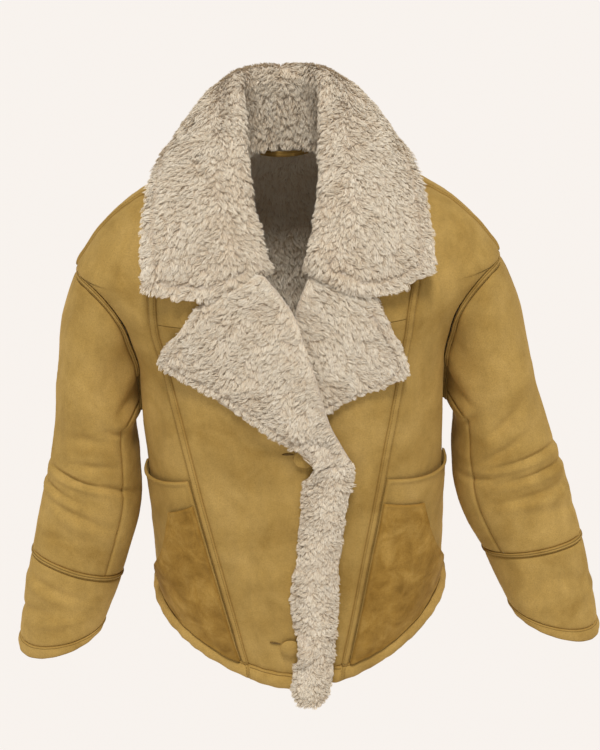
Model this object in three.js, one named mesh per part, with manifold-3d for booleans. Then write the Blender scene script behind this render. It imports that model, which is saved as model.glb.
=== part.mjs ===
// Hip-length double-faced jacket: suede outside, pile inside, with a wide notched pile collar,
// lapels turned out to show the pile, and a pile strip down the front edge.
// Millimetres. +X is the wearer's left, -Y the front, +Z up. The origin is the centre of the neck.
// The wearer's right front laps over the left front, and two covered buttons close it.
import * as THREE from 'three';
import { mergeVertices } from 'three/addons/utils/BufferGeometryUtils.js';
import Module from 'manifold-3d';

// ---- Driving dimensions -------------------------------------------------------------------

const CLOTH = 7; // thickness of the double-faced cloth in the body
const SLEEVE_CLOTH = 4.5; // and in the sleeves, where the pile is shorter
const GAP = 0.4; // clear distance between neighbouring pieces
const SEAM_GAP = 0.5; // half the clear distance where two panels meet edge to edge
const WELT_HALF = 4.5; // half the width of a raised welt
const WELT_RISE = 2.5; // how far a welt stands above its panels
const PANEL_EDGE = WELT_HALF + SEAM_GAP; // from a seam to the panel beside its welt
const SIDE_CLEAR = 0.4; // half the clear distance at the side seam

// The body's outer surface, as level sections: height, half width, depth in front, depth behind.
const BODY = [
  [-5, 75, 60, 72],
  [-20, 115, 70, 86],
  [-34, 153, 78, 96],
  [-55, 189, 88, 106],
  [-70, 210, 95, 112],
  [-90, 231, 104, 118],
  [-110, 247, 112, 122],
  [-135, 262, 121, 126],
  [-165, 247, 130, 129],
  [-200, 221, 137, 132],
  [-240, 204, 143, 134],
  [-280, 198, 147, 135],
  [-350, 197, 149, 137],
  [-450, 198, 151, 141],
  [-600, 198, 153, 144],
  [-650, 190, 151, 141],
  [-760, 172, 146, 134],
];
const ROUNDNESS = 2.2; // exponent of each level section, where 2 is an ellipse

const SHOULDER_END = -135.5; // the dropped shoulder point
const ARMPIT = -343;
// The princess seams, in front and behind: height, distance from the middle.
const SEAM_FRONT = [[-30, 163], [-79, 158], [-134, 155], [-190, 152], [-690, 66], [-760, 54]];
const SEAM_BACK = [[-30, 150], [-134, 142], [-260, 118], [-400, 98], [-640, 92], [-760, 92]];
const SEAM_SHIFT = -10; // both front seams lie this far towards the wearer's right

const HEM_SIDE = -640; // lower edge at the sides
const HEM_FRONT_DROP = 72; // how much lower the front's middle is
const HEM_BACK_DROP = 22;
const HEM_BAND = 28; // height of the rolled hem band
const HEM_ROLL = 3.5; // how far its rolled face stands out
const HEM_TUCK = 1.5; // how far its upper and lower edges lie below the panels' surface
const HEM_CLEAR = 2.6; // from the band up to the panels
const HEM_SEAM = 0.004; // half the clear turn between neighbouring lengths of the band
const FRONT_TOP = -172; // the fronts bend away below this height
const BEND_GAP = 2.4; // clear distance there, which closes as they bend

// Heights of the rows of mesh in the long panels, the upper fronts, the back and the fronts.
const RUN_HEIGHTS = [-56, -90, -120, -134, -137.5, -141, -148, -160, -184, -215, -260, -305, -334, -344,
  -430, -520];
const UPPER_HEIGHTS = [-8, -34, -56, -90, -120, -146, FRONT_TOP];
const BACK_HEIGHTS = [-8, -30, -56, -90, -134, -184, -260, -344, -430, -520];
const FRONT_HEIGHTS = [FRONT_TOP - BEND_GAP, -184, -215, -260, -284, -305, -344, -430, -520];
const SHOULDER_HEIGHTS = [-50, -70, -95, -120, -133];

// The lapped fronts. The wearer's right front ends at these distances right of the middle.
const RIGHT_EDGE = [[-150, 0], [-225, 21], [-283, 35], [-341, 54], [-366, 60], [-465, 46], [-545, 41],
  [-632, 36], [-740, 22]];
const UNDERLAP_EDGE = -16; // where the wearer's left front ends, under the right one
const NECK_EDGE = [[-8, 68], [-34, 66], [-60, 60], [-100, 40], [-146, 9], [-175, 3]];

// Where the two fronts overlap, the wearer's right one rises over the left one, which sinks.
const LAP_SIDE = [-100, -12]; // the rise grows between these distances from the middle
const LAP_RISE = 4;
const LAPEL_ROOM = 9; // extra rise over the hidden part of the left lapel
const LAPEL_ROOM_ENDS = [-320, -288]; // and the heights between which it grows
const NECK_LAP_ENDS = [-120, -168]; // in the upper front, the rise grows between these heights
const LAP_SINK = 6;
const SINK_SIDE = [60, 105]; // the left front comes back to the surface between these

// Sleeve sections from armhole to cuff. Each has its centre, the angle of its wide axis above
// level, half its width, half its depth, and the angle by which its front edge is lifted.
const SLEEVE_RIGHT = [
  [232, 0, -238, 73, 106, 82, 0],
  [253, -8, -322, 38, 61, 77, 5],
  [260, -22, -388, 24, 61, 72, 12],
  [271, -38, -450, 18, 66, 64, 15],
  [302, -58, -548, 24, 64, 57, 18],
  [322, -72, -610, 5, 61, 52, 8],
  [335, -80, -655, -14, 62, 50, -5],
];
const SLEEVE_LEFT = [
  [232, 0, -238, 73, 106, 82, 0],
  [256, -8, -322, 38, 64, 77, 5],
  [268, -22, -389, 24, 69, 74, 12],
  [284, -38, -455, 18, 74, 67, 15],
  [318, -58, -542, 10, 68, 58, 18],
  [338, -72, -607, -4, 65, 53, 8],
  [353, -80, -655, -20, 67, 50, -5],
];
const ARMHOLE_BOW = 47; // how far the armhole bows inwards in front and behind
const UNDERARM_BOW = 0.12; // the share of that bow left under the arm
const BOW_FADE = [0.5, -0.95]; // cosines of the turn between which the bow fades to that share
const UNDERARM_LEAST = 201; // the sleeve keeps at least this far from the middle under the arm,
const UNDERARM_ENDS = [-190, -320]; // which grows in between these heights
const SOFT_CHANGE = 16; // how gently that limit takes over
const ARMHOLE_CLEAR = 3.5; // from a body panel to the armhole's welt
// The armhole's welt and the gap beyond it, over the shoulder and under the arm, as shares of the
// way to the next section.
const ARMHOLE_WELT = [0.06, 0.4];
const ARMHOLE_GAP = [0.025, 0.09];
const SEAM_WELT_RISE = 1.5; // how far the armhole's welt stands above the sleeve
const ARMHOLE_ROOM_START = -0.03; // cutters start this far before the armhole
const ARMHOLE_ROOM_END = [0.1, 0.6]; // and the panels' one reaches this far past it
const ARMHOLE_ROOM_FACES = [1.5, 3]; // its clearance under and over the cloth
const WELT_ROOM_FACES = [1, 2.5]; // the clearance of the one that ends the sleeve at its welt
const SEAM_ROOM_FACE = 1; // the clearance of the one that parts the under sleeve from the top
const SLEEVE_SEAM = 0.017; // half the clear turn between the top and under sleeves
const SEAM_ROOM_TURN = 3 * SLEEVE_SEAM; // how far the cutter along that seam reaches past it
const UNDER_SHARE = Math.PI / 8; // a quarter of the under sleeve's share of the turn
const ARMHOLE_SHARE = 0.62; // the same at the armhole, from which the seams slant to the elbow
const ELBOW = [2.55, 3.3]; // where the elbow's band begins and ends, counted in sections
const CUFF_SEAM = [3.965, 4.035]; // the welt above the cuff, counted in sections
const FOREARM_WELT_RISE = 2;
const CUFF_ROLL = 5.62; // where the rolled edge begins
const ROLL_SWELL = 2.5; // how far the rolled edge stands out
const ROLL_TUCK = 1; // how far its ends lie below the cuff's surface
const ROLL_INNER = 1.5; // and how far it swells inwards
const PLACE_GAP = 0.008; // clear share of a section between neighbouring rings

// The collar, from the middle of the back round to the front end: fold, outer edge and neck seam.
const COLLAR_FOLD = [[0, 62, 84], [34, 50, 86], [51, 12, 82], [47, -34, 24], [44, -78, -26], [35, -104, -74],
  [29, -116, -98]];
const COLLAR_EDGE = [[0, 124, -24], [78, 112, -16], [128, 66, -8], [152, 2, -14], [163, -55, -40],
  [170, -104, -84], [171, -118, -120]];
const COLLAR_SEAM = [[0, 61, 6], [42, 51, 4], [66, 12, 2], [64, -30, -14], [55, -68, -48], [42, -96, -82],
  [33, -110, -104]];
const COLLAR_PILE = 7; // pile above the collar's middle surface
const COLLAR_UNDER = 4; // pile below it
const UNDER_COLLAR = 3; // the suede under-collar
const COLLAR_CROWN = 12; // how far the leaf bows up between fold and edge
const COLLAR_SWELL = 6; // and how far outwards
const COLLAR_ENDS = [0.72, 1]; // share of the way round over which that bow dies away
const COLLAR_CLEAR = 11.5; // from the body's surface to the leaf's middle surface
const GORGE_DROOP = 21; // how far the collar's front end hangs below a straight line
const STAND_END = 0.8; // the stand's ends, as a share of the way round
const STAND_TOP = 0.76; // how far it reaches up to the fold
const STAND_FACES = [-10, -3.5]; // its two faces, measured outwards from the seam-to-fold surface

// Lapels, seen from the front: the turned-out edge, and the fold.
const LAPEL_RIGHT_EDGE = [[-104, -143], [-150, -206], [-146, -226], [-91, -252], [-37, -284], [-5, -314],
  [14, -344]];
const LAPEL_RIGHT_FOLD = [[-26, -110], [3, -148], [16, -185], [27, -225], [41, -283], [54, -318],
  [66, -343]];
const LAPEL_LEFT_EDGE = [[97, -137], [121, -190], [134, -229], [126, -241], [103, -250], [67, -262],
  [40, -276]];
const LAPEL_LEFT_FOLD = [[26, -110], [8, -149], [6, -175], [6, -200], [6, -230], [6, -255], [6, -281]];

// The pile strip down the front edge: height, its two sides.
const STRIP = [[-346, 15, 68], [-366, 12, 67], [-462, 3, 51], [-541, -9, 46], [-627, -4, 41], [-700, -14, 34],
  [-734, -6, 22]];
const STRIP_PILE = [4, 16]; // its thickness at the sides and in the middle
const LAPEL_PILE = [6, 11]; // a lapel's thickness at its edges and in the middle
const PILE_CLEAR = 1.8; // clear distance under the strip
const RIGHT_LAPEL_CLEAR = [2.8, 5]; // under the right lapel, inside and at its tip,
const RIGHT_TIP_SIDE = [-120, -145]; // which grows between these distances from the middle
const LEFT_LAPEL_CLEAR = [1.8, 7.5]; // and under the left one
const LEFT_TIP_SIDE = [90, 118];
const LAPPED_LAPEL = 8; // thickness of the left lapel where the right front covers it
const LAPPED_SIDE = [50, 90]; // which grows to the full thickness between these
const STRIP_OVER_HEM = 2.6; // extra clearance where the strip crosses the hem band
const STRIP_HEM_ENDS = [-660, -676]; // which grows between these heights

const BUTTON_RADIUS = 13.5;
const BUTTONS = [{ name: 'upper', x: 12, z: -334 }, { name: 'lower', x: -15, z: -630 }];
const BUTTONHOLE_RADIUS = 30; // the part of the front that gives way round a button and its hole
const SLIT_LENGTH = 22; // the worked hole, running from the shank towards the wearer's right
const SLIT_WIDTH = 5;
const CUTTER_DEPTH = 40; // of the solids that cut the hole and its patch through the cloth
const BUTTON_DOME = [[0, 0], [12.5, 0], [BUTTON_RADIUS, 1.2], [12, 2.8], [8, 4.4], [4, 5.1], [0, 5.3]];
const BUTTON_HEIGHTS = { cap: 7.6, back: 6.5, shank: 0.1 }; // above the body's surface
const BACK_RADIUS = 11;
const BACK_HEIGHT = 1.2;
const SHANK_RADIUS = 1.8;
const SHANK_LENGTH = 10.8;
const BUTTON_ROOM = 9; // how far pile is lifted where it crosses a button
const BUTTON_ROOM_REACH = [17, 36];

// Pockets, on either side: heights and distances from the middle.
const POCKET_TOP_SEAM = -386; // upper edge at the princess seam
const POCKET_TOP_SIDE = -424; // and at the side
const POCKET_MOUTH = [[-440, 158], [-482, 163], [-515, 172], [-555, 186], [-600, 194]];
const POCKET_LAYER = 2.6; // thickness of a pocket's cloth
const POCKET_ROOM = 11; // the hollow a hand goes into
const POCKET_ROOM_SIDE = [0.1, 1]; // it opens over this share of the patch's width,
const POCKET_ROOM_TOP = [0, 0.2]; // over this share of its height from the top,
const POCKET_ROOM_FOOT = [0.7, 0.95]; // and closes over this one
const POCKET_SKIN = 1.4; // clear distance between a pocket's cloth and the panel under it
const POCKET_SEAM = 1.2; // from a pocket to the princess welt
const POCKET_SIDE = 6; // from the pocket panel to the side seam
const POCKET_DROP = 33; // from the panel's top edge down to the patch's
const PATCH_WIDTH = 0.62; // the patch's top edge as a share of the panel's
const POCKET_GAPE = 3; // how far the top edge stands off
const POCKET_GAPE_END = 0.4; // and the share of the height over which that dies away
const PATCH_GAPE = 1.1; // the patch's top edge follows it with this to spare,
const PATCH_GAPE_END = 0.3; // over this share of its own height

// The hanger loop inside the back of the neck.
const LOOP_SPAN = 60;
const LOOP_REACH = 11;
const LOOP_BACK = 62; // where its ends are sewn in
const LOOP_HEIGHT = -24;
const LOOP_WIDTH = 7;
const LOOP_THICKNESS = 2;

const COLOURS = {
  suede: 0x9c7e46,
  patch: 0x8c6e36,
  pile: 0xbfb097,
  thread: 0x6f5a2a,
  backing: 0x8f7440,
};

// ---- Interpolation ------------------------------------------------------------------------

const clamp = (value, low, high) => Math.min(high, Math.max(low, value));
const lerp = (a, b, t) => a + (b - a) * t;

function smooth(from, to, value) {
  const t = clamp((value - from) / (to - from), 0, 1);
  return t * t * (3 - 2 * t);
}

// The larger of two values, with a rounded change from one to the other.
const softMax = (a, b) => 0.5 * (a + b + Math.hypot(a - b, SOFT_CHANGE));

// Reads a table whose first column falls steadily, with straight lines between its rows.
function straight(table, key, column = 1) {
  const i = clamp(table.findIndex((row) => row[0] <= key), 1, table.length - 1);
  const rows = key < table[table.length - 1][0] ? table.length - 1 : i;
  const [a, b] = [table[rows - 1], table[rows]];
  return lerp(a[column], b[column], clamp((key - a[0]) / (b[0] - a[0]), 0, 1));
}

// Reads every column of a table at a fractional row, on a smooth curve through the rows.
function curved(table, place) {
  const last = table.length - 1;
  const row = clamp(Math.floor(place), 0, last - 1);
  const t = place - row;
  const at = (k, column) => table[clamp(k, 0, last)][column];
  return table[0].map((_, column) => {
    const [a, b, c, d] = [-1, 0, 1, 2].map((k) => at(row + k, column));
    const slope = 0.5 * (c - a);
    const bend = a - 2.5 * b + 2 * c - 0.5 * d;
    const twist = 1.5 * (b - c) + 0.5 * (d - a);
    return b + t * (slope + t * (bend + t * twist));
  });
}

// ---- Surfaces -----------------------------------------------------------------------------

function bodySection(z) {
  let row = BODY.findIndex((station) => station[0] <= z);
  row = row < 0 ? BODY.length - 1 : clamp(row, 1, BODY.length - 1);
  const place = row - 1 + (z - BODY[row - 1][0]) / (BODY[row][0] - BODY[row - 1][0]);
  const [, width, front, back] = curved(BODY, clamp(place, 0, BODY.length - 1));
  return { width, front, back };
}

// A point of the body's surface at a turn from the front's middle, in radians, and a height.
function bodyPoint(turn, z) {
  const { width, front, back } = bodySection(z);
  const [s, c] = [Math.sin(turn), Math.cos(turn)];
  const power = 2 / ROUNDNESS;
  const depth = c > 0 ? front : back;
  return new THREE.Vector3(
    width * Math.sign(s) * Math.abs(s) ** power,
    -depth * Math.sign(c) * Math.abs(c) ** power,
    z,
  );
}

// The turn at which a level section has a given distance from the middle.
function turnAt(x, z, behind = false) {
  const { width } = bodySection(z);
  const turn = Math.asin(clamp(Math.abs(x) / width, 0, 1) ** (ROUNDNESS / 2));
  return Math.sign(x || 1) * (behind ? Math.PI - turn : turn);
}

const frontPoint = (x, z) => bodyPoint(turnAt(x, z), z);

function seamX(side, z) {
  return side * straight(SEAM_FRONT, z) + SEAM_SHIFT * smooth(-60, -190, z);
}

function hemHeight(turn) {
  const c = Math.cos(turn);
  return HEM_SIDE - (c > 0 ? HEM_FRONT_DROP : HEM_BACK_DROP) * c * c;
}

// How far the armhole bows inwards, from the cosine of the turn round it: less under the arm.
function armholeBow(c) {
  return ARMHOLE_BOW * (1 - c * c) ** 0.4 * lerp(1, UNDERARM_BOW, smooth(...BOW_FADE, c));
}

function sleevePoint(side, turn, place) {
  const table = side < 0 ? SLEEVE_RIGHT : SLEEVE_LEFT;
  const [x, y, z, lift, halfWidth, halfDepth, frontLift] = curved(table, place);
  const power = 2 / lerp(3, 2.1, smooth(0, 2, place));
  const [c, s] = [Math.cos(turn), Math.sin(turn)];
  const wide = halfWidth * Math.sign(c) * Math.abs(c) ** power;
  const deep = halfDepth * Math.sign(s) * Math.abs(s) ** power;
  const [up, tip] = [THREE.MathUtils.degToRad(lift), THREE.MathUtils.degToRad(frontLift)];
  const bow = armholeBow(c) * (1 - smooth(0, 1.1, place));
  const height = z + wide * Math.sin(up) + deep * Math.sin(tip);
  const least = UNDERARM_LEAST * smooth(...UNDERARM_ENDS, height);
  return new THREE.Vector3(
    side * softMax(least, x + wide * Math.cos(up) - bow),
    y - deep * Math.cos(tip),
    height,
  );
}

// ---- Solids -------------------------------------------------------------------------------

const STEP = 1e-3; // parameter step for a surface's slopes
const flat = (value) => () => value;

function volumeOf(positions, indices) {
  const corner = (k) => new THREE.Vector3().fromArray(positions, 3 * k);
  let volume = 0;
  for (let i = 0; i < indices.length; i += 3) {
    const [a, b, c] = [0, 1, 2].map((k) => corner(indices[i + k]));
    volume += a.dot(b.cross(c)) / 6;
  }
  return volume;
}

// A closed geometry whose faces point out, whichever way round its indices were given.
function closedMesh(positions, indices) {
  if (volumeOf(positions, indices) < 0) indices.reverse();
  const geometry = new THREE.BufferGeometry();
  geometry.setAttribute('position', new THREE.Float32BufferAttribute(positions, 3));
  geometry.setIndex(indices);
  return mergeVertices(geometry, 1e-4);
}

// A thick sheet over surface(s, t), with s and t from 0 to 1. `low` and `high` give how far its
// two faces stand above the surface, on the side away from `core`, a point on its inner side.
// With `ring` the sheet closes on itself along s.
function sheet({ surface, core, columns, rows, low, high, ring = false }) {
  const normal = (s, t) => {
    const along = surface(s + STEP, t).sub(surface(s - STEP, t));
    const down = surface(s, t + STEP).sub(surface(s, t - STEP));
    return along.cross(down).normalize();
  };
  const sense = Math.sign(normal(0.3, 0.5).dot(surface(0.3, 0.5).sub(core)));
  const wide = ring ? columns : columns + 1;
  const positions = [];
  for (const face of [high, low]) {
    for (let j = 0; j <= rows; j += 1) {
      for (let i = 0; i < wide; i += 1) {
        const [s, t] = [i / columns, j / rows];
        const point = surface(s, t).addScaledVector(normal(s, t), sense * face(s, t));
        positions.push(point.x, point.y, point.z);
      }
    }
  }
  const at = (i, j, face) => (face * (rows + 1) + j) * wide + (i % wide);
  const indices = [];
  const quad = (a, b, c, d) => indices.push(a, b, c, a, c, d);
  for (let i = 0; i < columns; i += 1) {
    for (let j = 0; j < rows; j += 1) {
      quad(at(i, j, 0), at(i + 1, j, 0), at(i + 1, j + 1, 0), at(i, j + 1, 0));
      quad(at(i, j, 1), at(i, j + 1, 1), at(i + 1, j + 1, 1), at(i + 1, j, 1));
    }
    quad(at(i, 0, 0), at(i, 0, 1), at(i + 1, 0, 1), at(i + 1, 0, 0));
    quad(at(i, rows, 0), at(i + 1, rows, 0), at(i + 1, rows, 1), at(i, rows, 1));
  }
  for (let j = 0; !ring && j < rows; j += 1) {
    quad(at(0, j, 0), at(0, j + 1, 0), at(0, j + 1, 1), at(0, j, 1));
    quad(at(columns, j, 0), at(columns, j, 1), at(columns, j + 1, 1), at(columns, j + 1, 0));
  }
  return closedMesh(positions, indices);
}

// Booleans, for the worked buttonholes.
const wasm = await Module();
wasm.setup();

function toSolid(geometry) {
  const bare = geometry.clone();
  bare.deleteAttribute('normal');
  bare.deleteAttribute('uv');
  const merged = mergeVertices(bare, 1e-4);
  return new wasm.Manifold(new wasm.Mesh({
    numProp: 3,
    vertProperties: merged.attributes.position.array,
    triVerts: new Uint32Array(merged.index.array),
  }));
}

function toGeometry(solid) {
  const mesh = solid.getMesh();
  const geometry = new THREE.BufferGeometry();
  geometry.setAttribute('position', new THREE.BufferAttribute(mesh.vertProperties, 3));
  geometry.setIndex(new THREE.BufferAttribute(mesh.triVerts, 1));
  return geometry;
}

// The largest piece that is left of a geometry when another is cut away.
function cutFrom(geometry, cutter) {
  const pieces = toSolid(geometry).subtract(toSolid(cutter)).decompose();
  return toGeometry(pieces.sort((a, b) => b.volume() - a.volume())[0]);
}

const jacket = new THREE.Group();

function add(name, geometry, slot) {
  const roughness = slot === 'pile' ? 1 : 0.9;
  const material = new THREE.MeshStandardMaterial({ color: COLOURS[slot], roughness, metalness: 0 });
  const mesh = new THREE.Mesh(geometry, material);
  mesh.name = name;
  jacket.add(mesh);
  return mesh;
}

const SIDES = [-1, 1];
const sideName = (side) => (side < 0 ? 'right' : 'left');

// ---- Edges of the body's panels -----------------------------------------------------------

// A turn just short of the shoulder line or the side seam, by `inset` along the surface.
function besideTurn(z, inset, behind) {
  const section = bodySection(z);
  const depth = behind ? section.back : section.front;
  return Math.asin(clamp(inset / depth, 0, 1) ** (ROUNDNESS / 2));
}

// The turn of an edge at a height: where the section is `x` from the middle, kept clear of the
// shoulder line and the side seam.
function edgeTurn(x, z, behind, inset) {
  const most = Math.PI / 2 - besideTurn(z, inset, behind);
  const turn = Math.min(Math.abs(turnAt(Math.abs(x), z)), most) * Math.sign(x);
  return behind ? Math.sign(x) * Math.PI - turn : turn;
}

const shoulderInset = (z) => (z > SHOULDER_END ? PANEL_EDGE : SIDE_CLEAR);

// Edges as functions of height. `inset` moves a seam towards the middle.
const frontSeam = (side, inset) => (z) => (
  edgeTurn(seamX(side, z) - side * inset, z, false, shoulderInset(z))
);
const backSeam = (side, inset) => (z) => (
  edgeTurn(side * (straight(SEAM_BACK, z) - inset), z, true, shoulderInset(z))
);
const frontEdge = (table, side = 1) => (z) => (
  edgeTurn(side * straight(table, z), z, false, shoulderInset(z))
);

// How far from the middle the armhole is at a height.
function armholeX(z) {
  const [x, , middle, lift, halfWidth] = SLEEVE_RIGHT[0];
  const up = THREE.MathUtils.degToRad(lift);
  const along = clamp((z - middle) / (halfWidth * Math.sin(up)), -1, 1);
  return x + halfWidth * Math.cos(up) * along - armholeBow(Math.sign(along) * Math.abs(along) ** 1.5);
}

// The outer edge of a side panel: shoulder line, armhole, side seam.
function outerEdge(side, behind, inset) {
  return (z) => {
    const inArmhole = z <= SHOULDER_END && z > ARMPIT;
    const line = inArmhole ? armholeX(z) - inset : bodySection(z).width;
    return edgeTurn(side * line, z, behind, shoulderInset(z));
  };
}

const hemTop = (turn) => hemHeight(turn) + HEM_BAND + HEM_CLEAR;

// The height at (s, t) of a sheet with rows at the given heights and, with `foot`, one along it.
function heightAt(s, t, from, to, heights, foot) {
  const rows = foot ? heights.length : heights.length - 1;
  const level = (k) => (k < heights.length ? heights[k] : foot(lerp(from(HEM_SIDE), to(HEM_SIDE), s)));
  const row = clamp(Math.floor(t * rows), 0, rows - 1);
  return lerp(level(row), level(row + 1), t * rows - row);
}

// A sheet of cloth on the body, between two edges that give a turn at each height.
function bodySheet({ from, to, heights, foot, columns = 3, low = flat(-CLOTH), high = flat(0) }) {
  const surface = (s, t) => {
    const z = heightAt(s, t, from, to, heights, foot);
    return bodyPoint(lerp(from(z), to(z), s), z);
  };
  const core = new THREE.Vector3(0, 0, heights[heights.length >> 1]);
  const rows = foot ? heights.length : heights.length - 1;
  return sheet({ surface, core, columns, rows, low, high });
}

// How far the overlapping front stands above the body's surface: more over the hidden lapel.
const lapRise = (x, z) => smooth(...LAP_SIDE, x) * (LAP_RISE + LAPEL_ROOM * smooth(...LAPEL_ROOM_ENDS, z));

// How far the front under it lies below the surface.
const lapSink = (x) => -LAP_SINK * (1 - smooth(...SINK_SIDE, x));

const LAP = { right: lapRise, left: lapSink };

// A rise at (s, t) of a sheet between two edges, from a rule that reads x and z.
function onBody(from, to, heights, foot, rule) {
  return (s, t) => {
    const z = heightAt(s, t, from, to, heights, foot);
    return rule(bodyPoint(lerp(from(z), to(z), s), z).x, z);
  };
}

// ---- Back, sides and upper fronts ---------------------------------------------------------

// A ring round the armhole's welt and the start of the sleeve, with room to spare on both faces.
function armholeRoom(side) {
  const places = [flat(ARMHOLE_ROOM_START), underArm(ARMHOLE_ROOM_END)];
  const [below, above] = ARMHOLE_ROOM_FACES;
  return sleeveSheet(side, [0, 2 * Math.PI], places, {
    columns: 24,
    rows: 2,
    low: flat(-CLOTH - below),
    high: flat(above),
    ring: true,
  });
}

function addPanels() {
  const edges = { from: backSeam(1, PANEL_EDGE), to: (z) => 2 * Math.PI + backSeam(-1, PANEL_EDGE)(z) };
  add('back_center_panel', bodySheet({ ...edges, heights: BACK_HEIGHTS, foot: hemTop, columns: 6 }), 'suede');
  for (const side of SIDES) {
    const name = sideName(side);
    for (const behind of [false, true]) {
      const from = (behind ? backSeam : frontSeam)(side, -PANEL_EDGE);
      const to = outerEdge(side, behind, ARMHOLE_CLEAR);
      const panel = cutFrom(bodySheet({ from, to, heights: RUN_HEIGHTS, foot: hemTop }), armholeRoom(side));
      add(`${behind ? 'back_side_panel' : 'side_front_panel'}_${name}`, panel, 'suede');
    }
    const neckEdge = frontEdge(NECK_EDGE, side);
    const rule = (x, z) => LAP[name](x, z) * (side < 0 ? smooth(...NECK_LAP_ENDS, z) : 1);
    const rise = onBody(neckEdge, frontSeam(side, PANEL_EDGE), UPPER_HEIGHTS, null, rule);
    add(`upper_front_panel_${name}`, bodySheet({
      from: neckEdge,
      to: frontSeam(side, PANEL_EDGE),
      heights: UPPER_HEIGHTS,
      low: (s, t) => rise(s, t) - CLOTH,
      high: rise,
    }), 'suede');
  }
}

// ---- Welts: raised bands over the seams ---------------------------------------------------

function addWelts() {
  const rise = flat(WELT_RISE);
  for (const side of SIDES) {
    const name = sideName(side);
    add(`princess_welt_${name}`, bodySheet({
      from: frontSeam(side, WELT_HALF),
      to: frontSeam(side, -WELT_HALF),
      heights: RUN_HEIGHTS,
      foot: hemTop,
      columns: 1,
      high: rise,
    }), 'suede');
    add(`back_welt_${name}`, bodySheet({
      from: backSeam(side, WELT_HALF),
      to: backSeam(side, -WELT_HALF),
      heights: RUN_HEIGHTS,
      foot: hemTop,
      columns: 1,
      high: rise,
    }), 'suede');
    add(`shoulder_welt_${name}`, bodySheet({
      from: (z) => side * (Math.PI / 2 - besideTurn(z, WELT_HALF, false)),
      to: (z) => side * (Math.PI / 2 + besideTurn(z, WELT_HALF, true)),
      heights: SHOULDER_HEIGHTS,
      columns: 2,
      high: rise,
    }), 'suede');
    add(`armhole_welt_${name}`, sleeveSheet(side, [0, 2 * Math.PI], [flat(0), underArm(ARMHOLE_WELT)], {
      columns: 24,
      rows: 1,
      high: flat(SEAM_WELT_RISE),
      ring: true,
    }), 'suede');
  }
}

// ---- The fronts ---------------------------------------------------------------------------

function frontPanel(side) {
  const from = frontSeam(side, PANEL_EDGE);
  const to = side < 0 ? frontEdge(RIGHT_EDGE) : (z) => edgeTurn(UNDERLAP_EDGE, z, false, SIDE_CLEAR);
  const high = onBody(from, to, FRONT_HEIGHTS, hemTop, LAP[sideName(side)]);
  const low = (s, t) => high(s, t) - CLOTH;
  return bodySheet({ from, to, heights: FRONT_HEIGHTS, foot: hemTop, columns: 9, low, high });
}

// A frame on the overlapping front: its place and the direction out of the cloth.
function buttonPlace({ x, z }) {
  const place = frontPoint(x, z);
  const tilt = frontPoint(x, z - 10).sub(frontPoint(x, z + 10));
  const across = frontPoint(x + 10, z).sub(frontPoint(x - 10, z));
  const out = across.cross(tilt).normalize();
  if (out.y > 0) out.negate();
  return { place, out };
}

// Turns a geometry whose axis is +Y to a button's place, `height` above the surface.
function seatAt(geometry, button, height = 0) {
  const { place, out } = buttonPlace(button);
  const turn = new THREE.Quaternion().setFromUnitVectors(new THREE.Vector3(0, 1, 0), out);
  geometry.applyQuaternion(turn);
  const at = place.addScaledVector(out, height);
  return geometry.translate(at.x, at.y, at.z);
}

function addFronts() {
  let right = toSolid(frontPanel(-1));
  for (const button of BUTTONS) {
    const round = (radius) => new THREE.CylinderGeometry(radius, radius, CUTTER_DEPTH, 24);
    const hole = toSolid(seatAt(round(BUTTONHOLE_RADIUS), button));
    const plug = toSolid(seatAt(round(BUTTONHOLE_RADIUS - GAP), button));
    const slit = new THREE.BoxGeometry(SLIT_LENGTH, CUTTER_DEPTH, SLIT_WIDTH);
    slit.translate(SLIT_WIDTH - SLIT_LENGTH / 2, 0, 0);
    const patch = right.intersect(plug).subtract(toSolid(seatAt(slit, button)));
    add(`buttonhole_patch_${button.name}`, toGeometry(patch), 'suede');
    right = right.subtract(hole);
  }
  add('right_front_panel', toGeometry(right), 'suede');
  add('left_front_panel', frontPanel(1), 'suede');
}

// ---- Lapels and the front's pile strip ----------------------------------------------------

// Room left over a button, so that the pile lies on it without touching.
function buttonLift(x, z) {
  const near = Math.min(...BUTTONS.map((button) => Math.hypot(x - button.x, z - button.z)));
  return BUTTON_ROOM * (1 - smooth(...BUTTON_ROOM_REACH, near));
}

function lapelSheet(edge, fold, low, high) {
  const last = edge.length - 1;
  const place = (s, t) => {
    const [a, b] = [curved(edge, t * last), curved(fold, t * last)];
    return [lerp(a[0], b[0], s), lerp(a[1], b[1], s)];
  };
  const surface = (s, t) => frontPoint(...place(s, t));
  return sheet({
    surface,
    core: new THREE.Vector3(0, 0, -200),
    columns: 5,
    rows: 8,
    low: (s, t) => low(...place(s, t)),
    high: (s, t) => low(...place(s, t)) + high(s, place(s, t)[0]),
  });
}

// Thickness of a lapel: full in the middle and thinner at its edges.
const lapelPile = (s) => lerp(...LAPEL_PILE, Math.sqrt(Math.sin(Math.PI * clamp(s, 0.04, 0.96))));

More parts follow.
